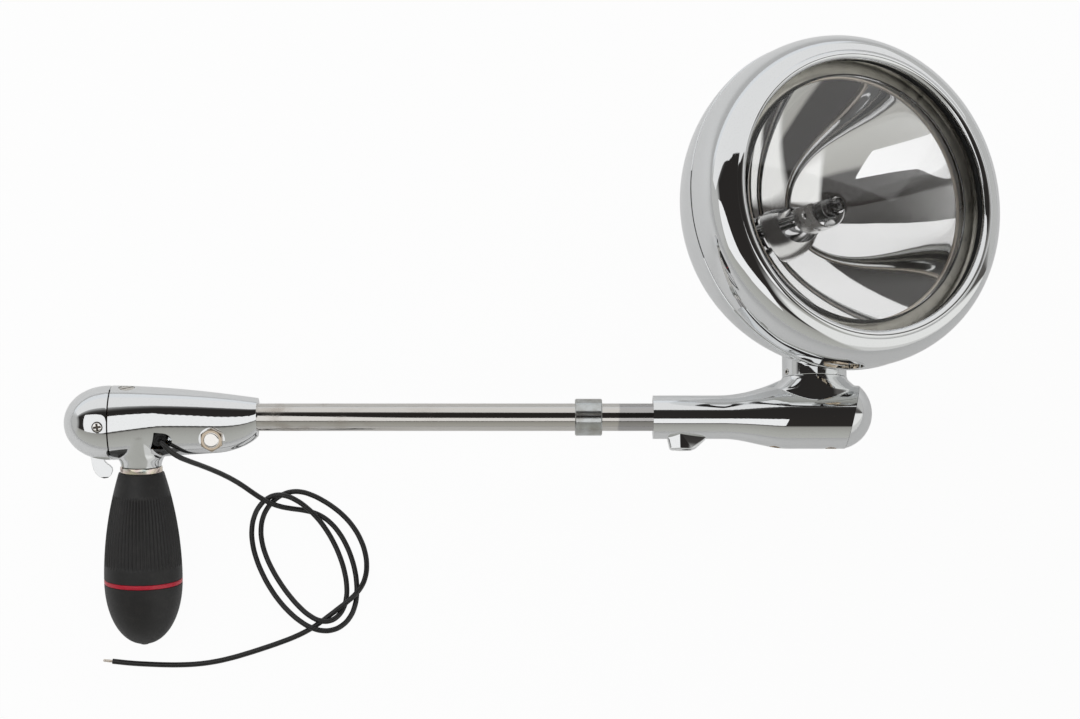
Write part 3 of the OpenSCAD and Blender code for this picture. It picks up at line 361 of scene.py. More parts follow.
def box(name, low, high, place=Matrix()):
    """A block between two corners, given in millimetres."""
    piece = started(name, bpy.ops.mesh.primitive_cube_add, size=1)
    middle = [(a + b) / 2 * mm for a, b in zip(low, high)]
    size = [(b - a) * mm for a, b in zip(low, high)]
    settle(piece, place @ Matrix.Translation(middle) @ Matrix.Diagonal((*size, 1)))
    return piece


def cut(piece, *tools, how="DIFFERENCE"):
    """Cuts a piece with tools, which are then thrown away."""
    for tool in tools:
        applied(piece, "BOOLEAN", operation=how, object=tool, solver="MANIFOLD")
        bpy.data.objects.remove(tool)
    return piece


def edged(piece, width, segments, angle):
    """Breaks the sharp edges with a small round."""
    applied(piece, "BEVEL", width=width * mm, segments=segments, limit_method="ANGLE",
            angle_limit=math.radians(angle), use_clamp_overlap=True)
    softened(piece, 40)


post_hole_r = 7.2
split_bush = ring("split_bush_ring", [
    (post_hole_r, -7), (9.1, -7), (9.6, -6.5), (9.6, 6.5), (9.1, 7), (post_hole_r, 7)], along_x, 128)
cut(split_bush, box("slit", (-9, -0.6, 1), (9, 0.6, 12)))
edged(split_bush, 0.12, 2, 50)
zinc_finish = Finish("matte zinc", (0.5, 0.51, 0.5), metallic=1, roughness=0.42)
zinc_cloud = zinc_finish.noise(160, 5)
zinc_lines = zinc_finish.noise(700, 3, stretch=(6, 0.5, 0.5))
zinc_finish.tint(zinc_cloud, 0.35, 0.7, (0.58, 0.6, 0.6), (0.4, 0.39, 0.36))
zinc_finish.gloss(zinc_lines, 0.2, 0.9, 0.14, 0.1)
zinc_finish.relief(zinc_lines, 0.06, 0.1)
finish_piece(split_bush, "bush", "zinc", zinc_finish, "split_bush")


# Drive inside the post
# A hollow shaft in two bronze bearings carries a mitre gear at each end, each held by a roll pin.
# None of it shows while the light is whole, so the solids stay and get worked-metal finishes.
bronze_finish = Finish("sintered bronze", (0.55, 0.38, 0.17), metallic=1, roughness=0.4)
bronze_pores = bronze_finish.noise(1800, 3)
bronze_finish.tint(bronze_pores, 0.4, 0.7, (0.6, 0.42, 0.2), (0.36, 0.24, 0.1))
bronze_finish.relief(bronze_pores, 0.2, 0.05)
steel_finish = Finish("plain steel", (0.5, 0.5, 0.5), metallic=1, roughness=0.35)
steel_lines = steel_finish.noise(900, 3, stretch=(0.3, 2, 2))
steel_finish.gloss(steel_lines, 0.2, 0.9, 0.25, 0.2)
steel_finish.tint(steel_lines, 0.35, 0.75, (0.58, 0.58, 0.58), (0.4, 0.39, 0.38))


def keep_node(finish, *names):
    """A node whose solid stays as it is gets its finish."""
    for name in names:
        slots = cad_nodes[name].data.materials
        slots.clear()
        slots.append(finish.material)


keep_node(bronze_finish, "post_bearings", "control_drive_gear", "lamp_drive_gear")
keep_node(steel_finish, "drive_shaft", "drive_pins")


# Control housing
# A plated casting that clamps the inner end of the post. A keel under it takes the pinch bolt, a
# boss carries the handle, and a port beside the boss lets the cord out.
def cosd(degrees):
    """Cosine of an angle in degrees."""
    return math.cos(math.radians(degrees))


def sind(degrees):
    """Sine of an angle in degrees."""
    return math.sin(math.radians(degrees))


def extruded(moves):
    """Extrudes what is selected by each move in turn and leaves edit mode."""
    for move in moves:
        bpy.ops.mesh.extrude_region_move(TRANSFORM_OT_translate={"value": move})
    bpy.ops.mesh.select_all(action="SELECT")
    bpy.ops.mesh.normals_make_consistent(inside=False)
    bpy.ops.object.mode_set(mode="OBJECT")


def lofted(name, places, section, sides=120):
    """A cast form: a disc across X is extruded through places, and section(x, angle) shapes it."""
    piece = started(name, bpy.ops.mesh.primitive_circle_add, vertices=sides, radius=mm,
                    fill_type="NGON", rotation=(0, math.pi / 2, 0))
    bpy.ops.object.transform_apply(location=False, rotation=True, scale=False)
    bpy.ops.object.mode_set(mode="EDIT")
    bpy.ops.mesh.select_all(action="SELECT")
    bpy.ops.transform.translate(value=(places[0] * mm, 0, 0))
    extruded([((x2 - x1) * mm, 0, 0) for x1, x2 in zip(places, places[1:])])
    for corner in piece.data.vertices:
        y, z = section(corner.co.x / mm, math.atan2(corner.co.z, corner.co.y))
        corner.co.y = y * mm
        corner.co.z = z * mm
    return piece


def cast(name, pieces, grain, passes):
    """Runs overlapping forms together into one skin with soft inside corners, as a casting has."""
    piece = joined(name, pieces)
    applied(piece, "REMESH", mode="VOXEL", voxel_size=grain * mm)
    applied(piece, "SMOOTH", factor=0.5, iterations=passes)
    only(piece)
    bpy.ops.object.shade_smooth()
    return piece


def rod(name, radius, z0, z1, place=Matrix(), sides=48):
    """A round tool along Z for holes and recesses."""
    piece = started(name, bpy.ops.mesh.primitive_cylinder_add, vertices=sides, radius=radius * mm,
                    depth=(z1 - z0) * mm)
    settle(piece, place @ shifted(0, 0, (z0 + z1) / 2))
    return piece


def plate(name, outline, z0, z1, place=Matrix()):
    """A plate along Z with an outline of (x, y) points."""
    piece = started(name, bpy.ops.mesh.primitive_circle_add, vertices=len(outline), radius=mm,
                    fill_type="NGON")
    for corner, (x, y) in zip(piece.data.vertices, outline):
        corner.co = (x * mm, y * mm, z0 * mm)
    bpy.ops.object.mode_set(mode="EDIT")
    bpy.ops.mesh.select_all(action="SELECT")
    extruded([(0, 0, (z1 - z0) * mm)])
    settle(piece, place)
    return piece


control_face, cap_x, pinch_x = -171.9, -247.9, -194.8
cap_r, control_drop, cap_depth = 19.4, 2.9, 24.8


def control_section(x, a):
    """Egg-shaped section of the control housing: height and side at an angle from its top."""
    u = min(1, max(0, (x - cap_x) / (control_face - cap_x)))
    top = 16.5 - 6.5 * u ** 1.7
    past = max(0, (u - 0.72) / 0.28)
    low = -10 + (5 * u - 12.3) * max(0, 1 - past * past) ** 0.75
    egg = 0.16 * min(1, u / 0.35)
    side = (10 + 9.4 * (1 - u)) * math.sin(a) * (1 + egg * math.cos(a))
    return ((top + low) / 2 + (top - low) / 2 * math.cos(a), side)


control_places = [cap_x - 3, cap_x - 1]
control_places += [cap_x + (control_face - cap_x) * sind(90 * k / 72) for k in range(73)]
control_places += [control_face + 2.5]
control_barrel = lofted("control_barrel", control_places, control_section)
handle_frame = shifted(handle_x, 0, 0) @ rotated(90, "X")
handle_place = control_side @ handle_frame
boss_end = 25.4
boss_rows = [(0, 3), (10.5, 3), (11.6, 6), (11.4, 9), (11.1, 12), (11, 15), (11, 18), (11.8, 20),
             (11.9, 21.2), (11.2, 22.6), (10.7, 24), (10.45, boss_end), (10.35, 28), (0, 28)]
control_boss = turned("control_boss", boss_rows, steps=120)
for corner in control_boss.data.vertices:
    down = corner.co.z / mm
    front = 14.5 + 1.9 * min(1, (down - 3) / 5.4) - 6.1 * max(0, min(1, (down - 8.4) / 17))
    if corner.co.xy.length > mm:
        corner.co.y *= front * mm / corner.co.xy.length
settle(control_boss, handle_frame)
control_casting = cast("control_housing_casting", [control_barrel, control_boss], 0.42, 12)
grip_length = 33
cut(control_casting,
    box("cap_joint", (cap_x - 20, -50, -50), (cap_x + 0.75, 50, 50)),
    box("post_end", (control_face, -50, -50), (control_face + 20, 50, 50)),
    box("boss_end", (handle_x - 40, -60, -50), (handle_x + 40, -boss_end, 50)),
    rod("gear_room", 11.6, -1, 42, shifted(cap_x, 0, 0) @ along_x),
    rod("post_hole", post_hole_r, -1, 36, shifted(control_face - grip_length, 0, 0) @ along_x),
    rod("handle_hole", 7.1, 4, 30, handle_frame))
port_r, port_left = 5.2, -4.4
port_outline = [(port_left, port_r)]
port_outline += [(port_r * sind(a) - 0.2, port_r * cosd(a)) for a in range(0, 181, 9)]
port_outline += [(port_left, -port_r)]
cut(control_casting, plate("port_tool", port_outline, -6, 16, port_frame))
pinch_frame = shifted(pinch_x, -10.15, 0)
pinch_seat = 9.2
pinch_turns = [rotated(turn, "Y") @ shifted(0, 0, pinch_seat) for turn in (0, 180)]
cut(control_casting, *[rod("bolt_seat", 6.7, 0, 15, pinch_frame @ turn, 64) for turn in pinch_turns])
top_screw_frame = shifted(handle_x - 6.4, 15.8, 3) @ rotated(-80, "X")
cut(control_casting, rod("top_screw_seat", 4.2, -2.2, 6, top_screw_frame),
    box("pinch_slit", (control_face - grip_length, -40, -0.7), (control_face + 2, -6, 0.7)))
seated(control_casting, control_side, 38)
chrome_colour = (0.79, 0.8, 0.805)
chrome_finish = plated("bright chrome casting", chrome_colour, 0.02, 0.06, 50, 0.02)
finish_piece(control_casting, "post", "chrome", chrome_finish, "control_housing")


def dome(radius, depth, angles):
    """Profile of a slightly full dome, at angles from its rim."""
    return [(radius * cosd(a), depth * sind(a) ** 0.92) for a in angles]


hollow_r, hollow_depth = cap_r - 2, cap_depth - 2
control_dome = dome(cap_r, cap_depth, [1.5 + 3.54 * k for k in range(25)]) + [(0, cap_depth)]
control_hollow = [(0, hollow_depth)] + dome(hollow_r, hollow_depth, range(84, -1, -6))
control_cap = ring("control_cap_dome", [(19.2, 0.02)] + control_dome + control_hollow,
                   shifted(cap_x, -control_drop, 0) @ rotated(-90, "Y"), 160)
cut(control_cap, box("lever_slot", (cap_x - 15, -23.3, -1.6), (cap_x + 0.5, -12.3, 1.6)))
cap_screw_turns = [shifted(cap_x - 4.6, -2.4, 0) @ rotated(turn, "X") for turn in (0, 180)]
cut(control_cap, *[rod("screw_seat", 2.95, 18, 24, screw_turn, 40) for screw_turn in cap_screw_turns])
seated(control_cap, control_side, 38)
finish_piece(control_cap, "post", "chrome", chrome_finish, "control_cap")


# Screws and the pinch bolt of the control housing
# Plated cross-head screws hold the cap, a slotted screw closes the top hole, and a hexagon bolt
# with a turned washer face draws the keel together.
def cross_screw(name, head_r, head_h, shank_r, length, place):
    """A low domed screw head with a cross recess, its top at height 0."""
    screw = turned(name, [
        (0, 0), (head_r * 0.45, -0.06), (head_r * 0.8, -0.22), (head_r * 0.95, -0.45), (head_r, -0.75),
        (head_r, -head_h), (shank_r, -head_h), (shank_r, -length), (0, -length)], steps=48)
    reach, half = head_r * 0.7, head_r * 0.4 / 2
    for turn in (8, 98):
        cut(screw, box("recess", (-reach, -half, -1.3), (reach, half, 1), rotated(turn, "Z")))
    edged(screw, 0.05, 1, 50)
    settle(screw, place)
    return screw


cap_screw_r = 2.85
cap_screw_places = [control_side @ screw_turn @ shifted(0, 0, 19.4) for screw_turn in cap_screw_turns]
cap_screws = joined("cap_screw_pair", [
    cross_screw("cap_screw", cap_screw_r, 1.4, 1.5, 6, place) for place in cap_screw_places])
screw_finish = plated("plated screw", (0.66, 0.64, 0.6), 0.12, 0.3, 300)
face_finish = plated("turned bright face", (0.86, 0.84, 0.81), 0.04, 0.14, 200)
# The dark brown finish below is painted shade for the cross recess and the gap round each cap screw head.
painted_shade_finish = plated("painted shade in a recess", (0.1, 0.085, 0.07), 0.3, 0.5, 300)
finish_piece(cap_screws, "post", "chrome", face_finish, "cap_screws")
cap_screws.data.materials.append(painted_shade_finish.material)
# Faces in the cross recess and round each head's rim take the painted-shade finish.
for face in cap_screws.data.polygons:
    for place in cap_screw_places:
        seen_from_head = place.inverted() @ face.center / mm
        out = seen_from_head.xy.length / cap_screw_r
        in_recess = out < 0.72 and -1.35 < seen_from_head.z < -0.25
        if in_recess or 0.85 < out < 1.1 and -1.35 < seen_from_head.z < 0.1:
            face.material_index = 1

top_screw = turned("top_slotted_screw", [
    (0, 0), (3.4, 0), (4.05, -0.3), (4.1, -2.2), (1.5, -2.2), (1.5, -5), (0, -5)], steps=64)
cut(top_screw, box("slot", (-5, -0.55, -0.9), (5, 0.55, 1)))
edged(top_screw, 0.06, 1, 50)
settle(top_screw, control_side @ top_screw_frame @ rotated(35, "Z"))
finish_piece(top_screw, "post", "chrome", screw_finish, "top_screw")


def hexagon(name, across, z0, z1):
    """A hexagon bar with its top corners turned off."""
    chamfer = turned("chamfer", [(0, z0 - 1), (across * 0.62, z0 - 1), (across * 0.62, z1 - 0.9),
                                 (across * 0.46, z1 + 0.1), (0, z1 + 0.1)], steps=64)
    return cut(rod(name, across / math.sqrt(3), z0, z1, sides=6), chamfer, how="INTERSECT")


hex_across = 10.8
bolt_head = hexagon("bolt_head", hex_across, 0, 3.5)
bolt_face = ring("bolt_face", [
    (0, 3.2), (0, 4), (2.6, 4), (3.3, 3.97), (3.7, 3.85), (4, 3.5), (4.02, 3.2)], steps=64)
bolt_shank = ring("bolt_shank", [(0, 0.2), (2.7, 0.2), (2.7, -22.9), (2.2, -23.4), (0, -23.4)], steps=40)
edged(bolt_head, 0.12, 2, 30)
pinch_bolt = joined("pinch_bolt_hex", [bolt_head, bolt_face, bolt_shank])
washer_faces = [face.index for face in pinch_bolt.data.polygons
                if face.center.z > 3.6 * mm and face.center.xy.length < 3.9 * mm]
seated(pinch_bolt, control_side @ pinch_frame @ pinch_turns[0] @ rotated(2, "Z"), 35)
bolt_finish = plated("bolt plating", (0.5, 0.42, 0.33), 0.08, 0.22, 200)
finish_piece(pinch_bolt, "post", "chrome", bolt_finish, "pinch_bolt")
pinch_bolt.data.materials.append(face_finish.material)
for number in washer_faces:
    pinch_bolt.data.polygons[number].material_index = 1
pinch_nut = hexagon("pinch_nut_hex", hex_across, 0, 4.6)
cut(pinch_nut, rod("nut_hole", 2.75, -1, 6))
edged(pinch_nut, 0.12, 2, 30)
settle(pinch_nut, control_side @ pinch_frame @ pinch_turns[1])
finish_piece(pinch_nut, "post", "chrome", bolt_finish, "pinch_nut")


# Switch
# A plated teardrop lever hangs out of a slot under the cap and swings on a steel pin through the
# moulded switch body, which sits behind the cap on the housing's face.
lever_pivot, lever_tab = (cap_x - 8.6, -12), (cap_x - 4.2, -27.9)
lever_outline = [
    (-7.0, 7.1), (-6.8, 5.8), (-6.4, 3.2), (-5.7, 0.6), (-4.6, -1.6), (-2.8, -3.3), (-0.3, -4.2),
    (1.9, -3.8), (3.4, -2.4), (4.2, -0.3), (4.0, 1.3), (2.8, 2.6), (1.5, 3.5), (0.3, 4.7), (-0.3, 5.8),
    (-0.4, 7.1), (-1.8, 13.9), (-2.1, 16.6), (-4.4, 18.5), (-6.7, 16.8), (-7.0, 13.9)]
switch_lever = plate("switch_lever_plate", [
    (lever_tab[0] + x, lever_tab[1] + y) for x, y in lever_outline], -1.3, 1.3)
cut(switch_lever, rod("pin_hole", 1.55, -4, 4, shifted(*lever_pivot, 0)))
settle(switch_lever, control_side)
edged(switch_lever, 1.1, 5, 50)
finish_piece(switch_lever, "switch", "chrome", chrome_finish, "switch_lever")
switch_finish = Finish("brown moulded switch", (0.2, 0.1, 0.05), roughness=0.45)
switch_grain = switch_finish.noise(700, 3)
switch_finish.tint(switch_grain, 0, 1, (0.24, 0.12, 0.06), (0.12, 0.06, 0.03))
keep_node(switch_finish, "switch_body")
keep_node(steel_finish, "lever_pivot_pin")


# Cord grommet
# A black rubber plug inside the port, with a lip round the cord, stops the casting's edge from
# rubbing through the cord.
grommet = turned("cord_grommet_plug", [
    (0, 0), (3.95, 0), (3.95, 2.2), (3.5, 2.6), (2.6, 2.8), (2.1, 3.6), (1.7, 4), (0, 4)], port_place, 64)
rubber_finish = Finish("black rubber", (0.02, 0.02, 0.02), roughness=0.6)
rubber_grain = rubber_finish.noise(1300, 4)
rubber_finish.feed("Roughness", rubber_finish.between(rubber_grain, -0.9, 1.3))
rubber_finish.relief(rubber_grain, 0.15, 0.1)
finish_piece(grommet, "post", "black_rubber", rubber_finish, "cord_grommet")


# Handle
# A black moulded grip in two halves with a red band between them turns on a steel stem. Fine ribs
# run down the upper half, and a yellow-passivated ferrule closes its top under the boss.
ferrule_finish = Finish("yellow passivated zinc", (0.7, 0.62, 0.42), metallic=1, roughness=0.2)
sheen_cloud = ferrule_finish.noise(110, 3)
ferrule_finish.feed("Base Color", ferrule_finish.node("ValToRGB", {"stops": [
    (0.25, (0.7, 0.71, 0.74, 1)), (0.38, (0.84, 0.78, 0.6, 1)), (0.48, (0.84, 0.7, 0.66, 1)),
    (0.56, (0.8, 0.79, 0.7, 1)), (0.66, (0.5, 0.62, 0.64, 1)), (0.8, (0.84, 0.8, 0.66, 1))]},
    {"Fac": sheen_cloud}))
stem_hole_r, grip_top = 5.05, 28.7
ferrule = ring("handle_ferrule_ring", [
    (stem_hole_r, 25.7), (10.2, 25.7), (10.7, 25.8), (11, 26.15), (11, 28.3), (10.8, grip_top),
    (stem_hole_r, grip_top)], handle_place, 128)
finish_piece(ferrule, "handle", "yellow_zinc", ferrule_finish, "handle_ferrule")

grip_end, widest, grip_r, grip_top_r = 120.1, 85.3, 20.4, 11.7


def grip_radius(s):
    """Radius of the grip at a distance below the post's axis."""
    if s < widest:
        return grip_top_r + (grip_r - grip_top_r) * (1 - ((widest - s) / (widest - grip_top)) ** 2)
    return grip_r * max(0, 1 - ((s - widest) / (grip_end - widest)) ** 2.1) ** (1 / 2.1)


band_top, band_end = 85.15, 87.45
edge_in, edge_along = 0.35, 0.25
rib_count, rib_from, rib_to, rib_depth, rib_fade = 60, 40.0, 78.0, 0.55, 1.6
upper_rows = [grip_top + (band_top - edge_along - grip_top) * k / 110 for k in range(111)]
upper_profile = [(stem_hole_r, grip_top), (grip_radius(grip_top) - 0.5, grip_top)]
upper_profile += [(grip_radius(s), s + (0.4 if k == 0 else 0)) for k, s in enumerate(upper_rows)]
upper_profile += [(grip_radius(band_top) - edge_in, band_top), (stem_hole_r, band_top)]
grip_upper = ring("grip_upper_ribbed", upper_profile, steps=rib_count * 8)
for corner in grip_upper.data.vertices:
    depth = corner.co.z / mm
    if rib_from < depth < rib_to and corner.co.xy.length > 8 * mm:
        around = math.atan2(corner.co.y, corner.co.x)
        fade = min(1, (depth - rib_from) / rib_fade, (rib_to - depth) / rib_fade)
        groove = (0.5 - 0.5 * math.cos(rib_count * around)) ** 1.3
        scale = 1 - rib_depth * mm * groove * fade / corner.co.xy.length
        corner.co.x *= scale
        corner.co.y *= scale
seated(grip_upper, handle_place, 45)
lower_top, hole_end = band_end + edge_along, grip_end - 11.5
lower_rows = [lower_top + (grip_end - lower_top) * sind(90 * k / 48) for k in range(48)]
lower_profile = [(stem_hole_r, band_end), (grip_radius(band_end) - edge_in, band_end)]
lower_profile += [(grip_radius(s), s) for s in lower_rows]
lower_profile += [(0, grip_end), (0, hole_end), (stem_hole_r, hole_end)]
grip_lower = ring("grip_lower_half", lower_profile, handle_place, 160)
grip_finish = Finish("black moulded grip", (0.022, 0.021, 0.021), roughness=0.55)
grip_grain = grip_finish.noise(1700, 3)
grip_dust = grip_finish.noise(230, 6)
grip_finish.tint(grip_dust, 0.5, 0.9, (0.014, 0.0135, 0.0135), (0.026, 0.024, 0.023))
grip_finish.gloss(grip_grain, 0.2, 0.8, 0.2, 0.4)
grip_finish.relief(grip_grain, 0.2, 0.08)
finish_piece(grip_upper, "handle", "grip_plastic", grip_finish, "grip_upper")
finish_piece(grip_lower, "handle", "grip_plastic", grip_finish, "grip_lower")
grip_plug = turned("grip_end_plug", [
    (0, 118.5), (2.4, 118.5), (2.4, 120.0), (2.0, 120.35), (1.2, 120.45), (0.9, 120.5), (0, 120.5)],
    handle_place, 48)
finish_piece(grip_plug, "handle", "grip_plastic", grip_finish, "grip_plug")
grip_band = ring("grip_band_red", [
    (stem_hole_r, band_top), (grip_r - edge_in, band_top), (grip_r - 0.05, band_top + edge_along),
    (grip_r + 0.02, 86.3), (grip_r - 0.05, band_end - edge_along), (grip_r - edge_in, band_end),
    (stem_hole_r, band_end)], handle_place, 160)
band_finish = Finish("red moulded band", (0.8, 0.03, 0.075), roughness=0.3)
band_cloud = band_finish.noise(500, 3)
band_finish.tint(band_cloud, 0, 1, (0.7, 0.025, 0.06), (0.5, 0.012, 0.03))
finish_piece(grip_band, "handle", "red_plastic", band_finish, "grip_band")
keep_node(steel_finish, "handle_stem", "handle_pin")
keep_node(bronze_finish, "handle_gear", "handle_bearing")


# Lamp housing
# The plated casting at the outer end grips the post by a lug with a set screw below it. It swells
# over the gears, carries a neck for the lamp stem with a thin web ahead of it, and ends in a ball.
lamp_side = rotated(2, "X")
lamp_face, stem_x, ball_x, ball_y, ball_r = 33.5, 117.8, 128.6, 2.0, 18.7
barrel_r, neck_r, neck_h = 11.3, 17.0, 20.4
seam_off, cap_slope = 8.5, 13
foot_h, foot_out, neck_flat = 7, 8.5, 0.865
neck_foot = neck_h - 0.6


def step_up(x, x0, x1):
    """Rises smoothly from 0 to 1 between two places."""
    u = min(1, max(0, (x - x0) / (x1 - x0)))
    return u * u * (3 - 2 * u)


def belly(x):
    """Radius of the barrel without its web."""
    return barrel_r + 5.1 * step_up(x, lamp_face + 36.5, stem_x - 14)


def lamp_section(x, a):
    """The barrel is round below; above, a web with rounded top and hollow flanks rises to the neck."""
    round_r = belly(x)
    web_x, web_end, full = lamp_face + 32.5, stem_x - neck_r, 2.6
    crest = barrel_r + 8.6 * (max(0, x - web_x) / (web_end - web_x)) ** 2
    if x > web_end:
        crest = neck_h - 0.5 - 3.5 * step_up(x, web_end, ball_x)
    reach = round_r
    if math.cos(a) > 0 and crest > round_r:
        half = 3.6 + 2.4 * step_up(x, web_x, web_end)
        web = ((abs(math.sin(a)) / half) ** full + (math.cos(a) / crest) ** full) ** (-1 / full)
        soft = 0.25 + 0.5 * (crest - round_r)
        reach = max(web, round_r) + max(0, soft - abs(web - round_r)) ** 2 / (4 * soft)
    return (reach * math.cos(a), reach * math.sin(a))


lamp_places = [lamp_face - 2.5] + [lamp_face + (ball_x + 16 - lamp_face) * k / 90 for k in range(91)]
lamp_barrel = lofted("lamp_barrel", lamp_places, lamp_section, sides=200)
stem_frame = shifted(stem_x, 0, 0) @ rotated(-90, "X")
lamp_neck = ring("lamp_neck", [(0, 0), (neck_r, 0)] + [
    (neck_r, neck_foot - foot_h * cosd(a)) for a in range(0, 91, 6)] + [
    (neck_r, neck_h + 2.5), (0, neck_h + 2.5)], steps=160)
for corner in lamp_neck.data.vertices:
    below = min(1, max(0, (neck_foot - corner.co.z / mm) / foot_h))
    corner.co.x *= 1 + foot_out / neck_r * below ** 1.2
    corner.co.y *= neck_flat
settle(lamp_neck, stem_frame)
lamp_casting = cast("lamp_housing_casting", [lamp_barrel, lamp_neck], 0.42, 10)
lug_x, lug_len, lug_drop, lug_w = lamp_face + 7.4, 20.0, 17.0, 12.4
lug_side = [(0, -9), (0, -barrel_r), (0.06, 0.6 - lug_drop), (0.1, -lug_drop), (0.62, -lug_drop),
            (0.73, 0.8 - lug_drop), (1, -barrel_r), (1, -9)]
lug_above = [(0, -0.2), (0.33, -0.5), (1, -0.25), (1, 0.25), (0.33, 0.5), (0, 0.2)]
lamp_lug = plate("lamp_lug", [(lug_x + lug_len * u, y) for u, y in lug_side], -lug_w, lug_w)
lug_plan = plate("lug_plan", [(lug_x + lug_len * u, lug_w * v) for u, v in lug_above],
                 0, lug_drop + 1, rotated(90, "X"))
cut(lamp_lug, lug_plan, how="INTERSECT")
edged(lamp_lug, 0.45, 3, 20)
cut(lamp_casting, lamp_lug, how="UNION")
ball_frame = shifted(ball_x, ball_y, 0) @ rotated(-cap_slope, "Z")
lug_frame = shifted(lug_x + lug_len / 2, 0, 0) @ rotated(90, "X")
cut(lamp_casting,
    box("cap_joint", (seam_off - 0.12, -60, -60), (60, 60, 60), ball_frame),
    box("post_end", (lamp_face - 20, -50, -50), (lamp_face, 50, 50)),
    box("neck_end", (stem_x - 60, neck_h, -50), (stem_x + 60, 60, 50)),
    rod("post_hole", post_hole_r, -1, 56, shifted(lamp_face, 0, 0) @ along_x),
    rod("gear_room", 12, 60, 130, shifted(lamp_face, 0, 0) @ along_x),
    rod("stem_hole", 8.1, 8, 30, stem_frame), rod("lug_hole", 2.55, 7, 25, lug_frame))
under_frames = [shifted(x, 0.4 - belly(x), 0) @ rotated(90, "X")
                for x in (stem_x - 21, stem_x + 8)]
cut(lamp_casting, *[rod("under_seat", 2.9, -1.8, 5, under_frame) for under_frame in under_frames])
seated(lamp_casting, lamp_side, 38)
finish_piece(lamp_casting, "post", "chrome", chrome_finish, "lamp_housing")


def arc(radius, angles, out=0, up=0):
    """Profile points on a circle at angles from its equator, the circle set out and up."""
    return [(out + radius * cosd(a), up + radius * sind(a)) for a in angles]


ball_hollow = ball_r - 2.2
rim_deg = math.degrees(math.asin(seam_off / ball_r))
inner_deg = math.degrees(math.asin(seam_off / ball_hollow))
ball_profile = arc(ball_r, [rim_deg + (90 - rim_deg) * k / 28 for k in range(29)])
ball_profile += arc(ball_hollow, [90 - (90 - inner_deg) * k / 14 for k in range(15)])
lamp_cap = ring("lamp_cap_ball", ball_profile, lamp_side @ ball_frame @ along_x, 144)
finish_piece(lamp_cap, "post", "chrome", chrome_finish, "lamp_cap")
brass_finish = plated("yellow plated screw", (0.66, 0.48, 0.28), 0.15, 0.35, 260)
under_screws = joined("underside_screw_pair", [
    cross_screw("underside_screw", 2.75, 1.8, 1.5, 3.6, lamp_side @ under_frame)
    for under_frame in under_frames])
finish_piece(under_screws, "post", "yellow_zinc", brass_finish, "underside_screws")
lug_screw = turned("lug_set_screw_socket", [
    (0, 7.25), (2.2, 7.25), (2.5, 7.6), (2.5, 16.0), (2.1, 16.4), (0, 16.4)], steps=48)
cut(lug_screw, rod("socket", 1.4, 14, 18, Matrix(), 6))
seated(lug_screw, lamp_side @ lug_frame)
dark_screw_finish = plated("oiled set screw", (0.3, 0.29, 0.28), 0.25, 0.45, 400)
finish_piece(lug_screw, "post", "steel", dark_screw_finish, "lug_set_screw")
keep_node(bronze_finish, "neck_bearing")


# Head stem and saddle
# The lamp turns on a hollow steel stem. A plated saddle above the neck is shaped to the bowl and
# locked by a small socket screw, and a plate and nut inside the bowl draw it tight.
stem_place = lamp_side @ stem_frame
lamp_axis_h = 107.503
head_place = lamp_side @ shifted(stem_x, 0, 0) @ rotated(24, "Y") @ shifted(0, lamp_axis_h, 0)
bowl_r, bowl_wall, bowl_ahead = 87.2, 1.5, 39.3
saddle_r, saddle_t, saddle_top = 16.7, 20.5, 44
saddle = ring("saddle_collar", [
    (stem_hole_r, saddle_t), (saddle_r - 0.15, saddle_t), (saddle_r, saddle_t + 0.2), (saddle_r, 24),
    (saddle_r, saddle_top), (stem_hole_r, saddle_top)], stem_place, 160)
bowl_form = started("bowl_form", bpy.ops.mesh.primitive_uv_sphere_add, segments=192, ring_count=96,
                    radius=(bowl_r + 0.03) * mm)
settle(bowl_form, head_place @ shifted(0, 0, bowl_ahead))
cut(saddle, bowl_form)
saddle_screw_place = lamp_side @ shifted(stem_x, 22.8, 0) @ rotated(-64, "Y") @ shifted(0, 0, saddle_r)
cut(saddle, rod("screw_hole", 1.7, -9, 3, saddle_screw_place))
softened(saddle, 40)
finish_piece(saddle, "head", "chrome", chrome_finish, "saddle")
saddle_screw = turned("saddle_socket_screw", [
    (0, -11.5), (1.65, -11.5), (1.65, 0), (1.4, 0.3), (0, 0.3)], steps=40)
cut(saddle_screw, rod("socket", 0.95, -2.2, 1, Matrix(), 6))
seated(saddle_screw, saddle_screw_place)
finish_piece(saddle_screw, "head", "steel", screw_finish, "saddle_set_screw")
keep_node(steel_finish, "head_stem", "stem_pin", "saddle_plate", "stem_nut", "bezel_clip",
          "lamp_springs")
keep_node(bronze_finish, "stem_gear", "lamp_terminals")


# Bowl
# The back of the head is spun from sheet steel into most of a half sphere and plated. A flange at
# its edge goes inside the bezel.
glass_r = 73.0
lip_r = glass_r - 0.4
bezel_r, bezel_wall = lip_r + 13.6, 1.4
seam_t, crest_t = 28.5, 58.1
flange_r = bezel_r - bezel_wall - 0.3
seam_angle = math.degrees(math.asin((bowl_ahead - seam_t) / bowl_r))


def bowl_curve(radius, angles):
    """Profile points on a sphere about the bowl's middle, at angles from its back."""
    return [(radius * sind(a), bowl_ahead - radius * cosd(a)) for a in angles]


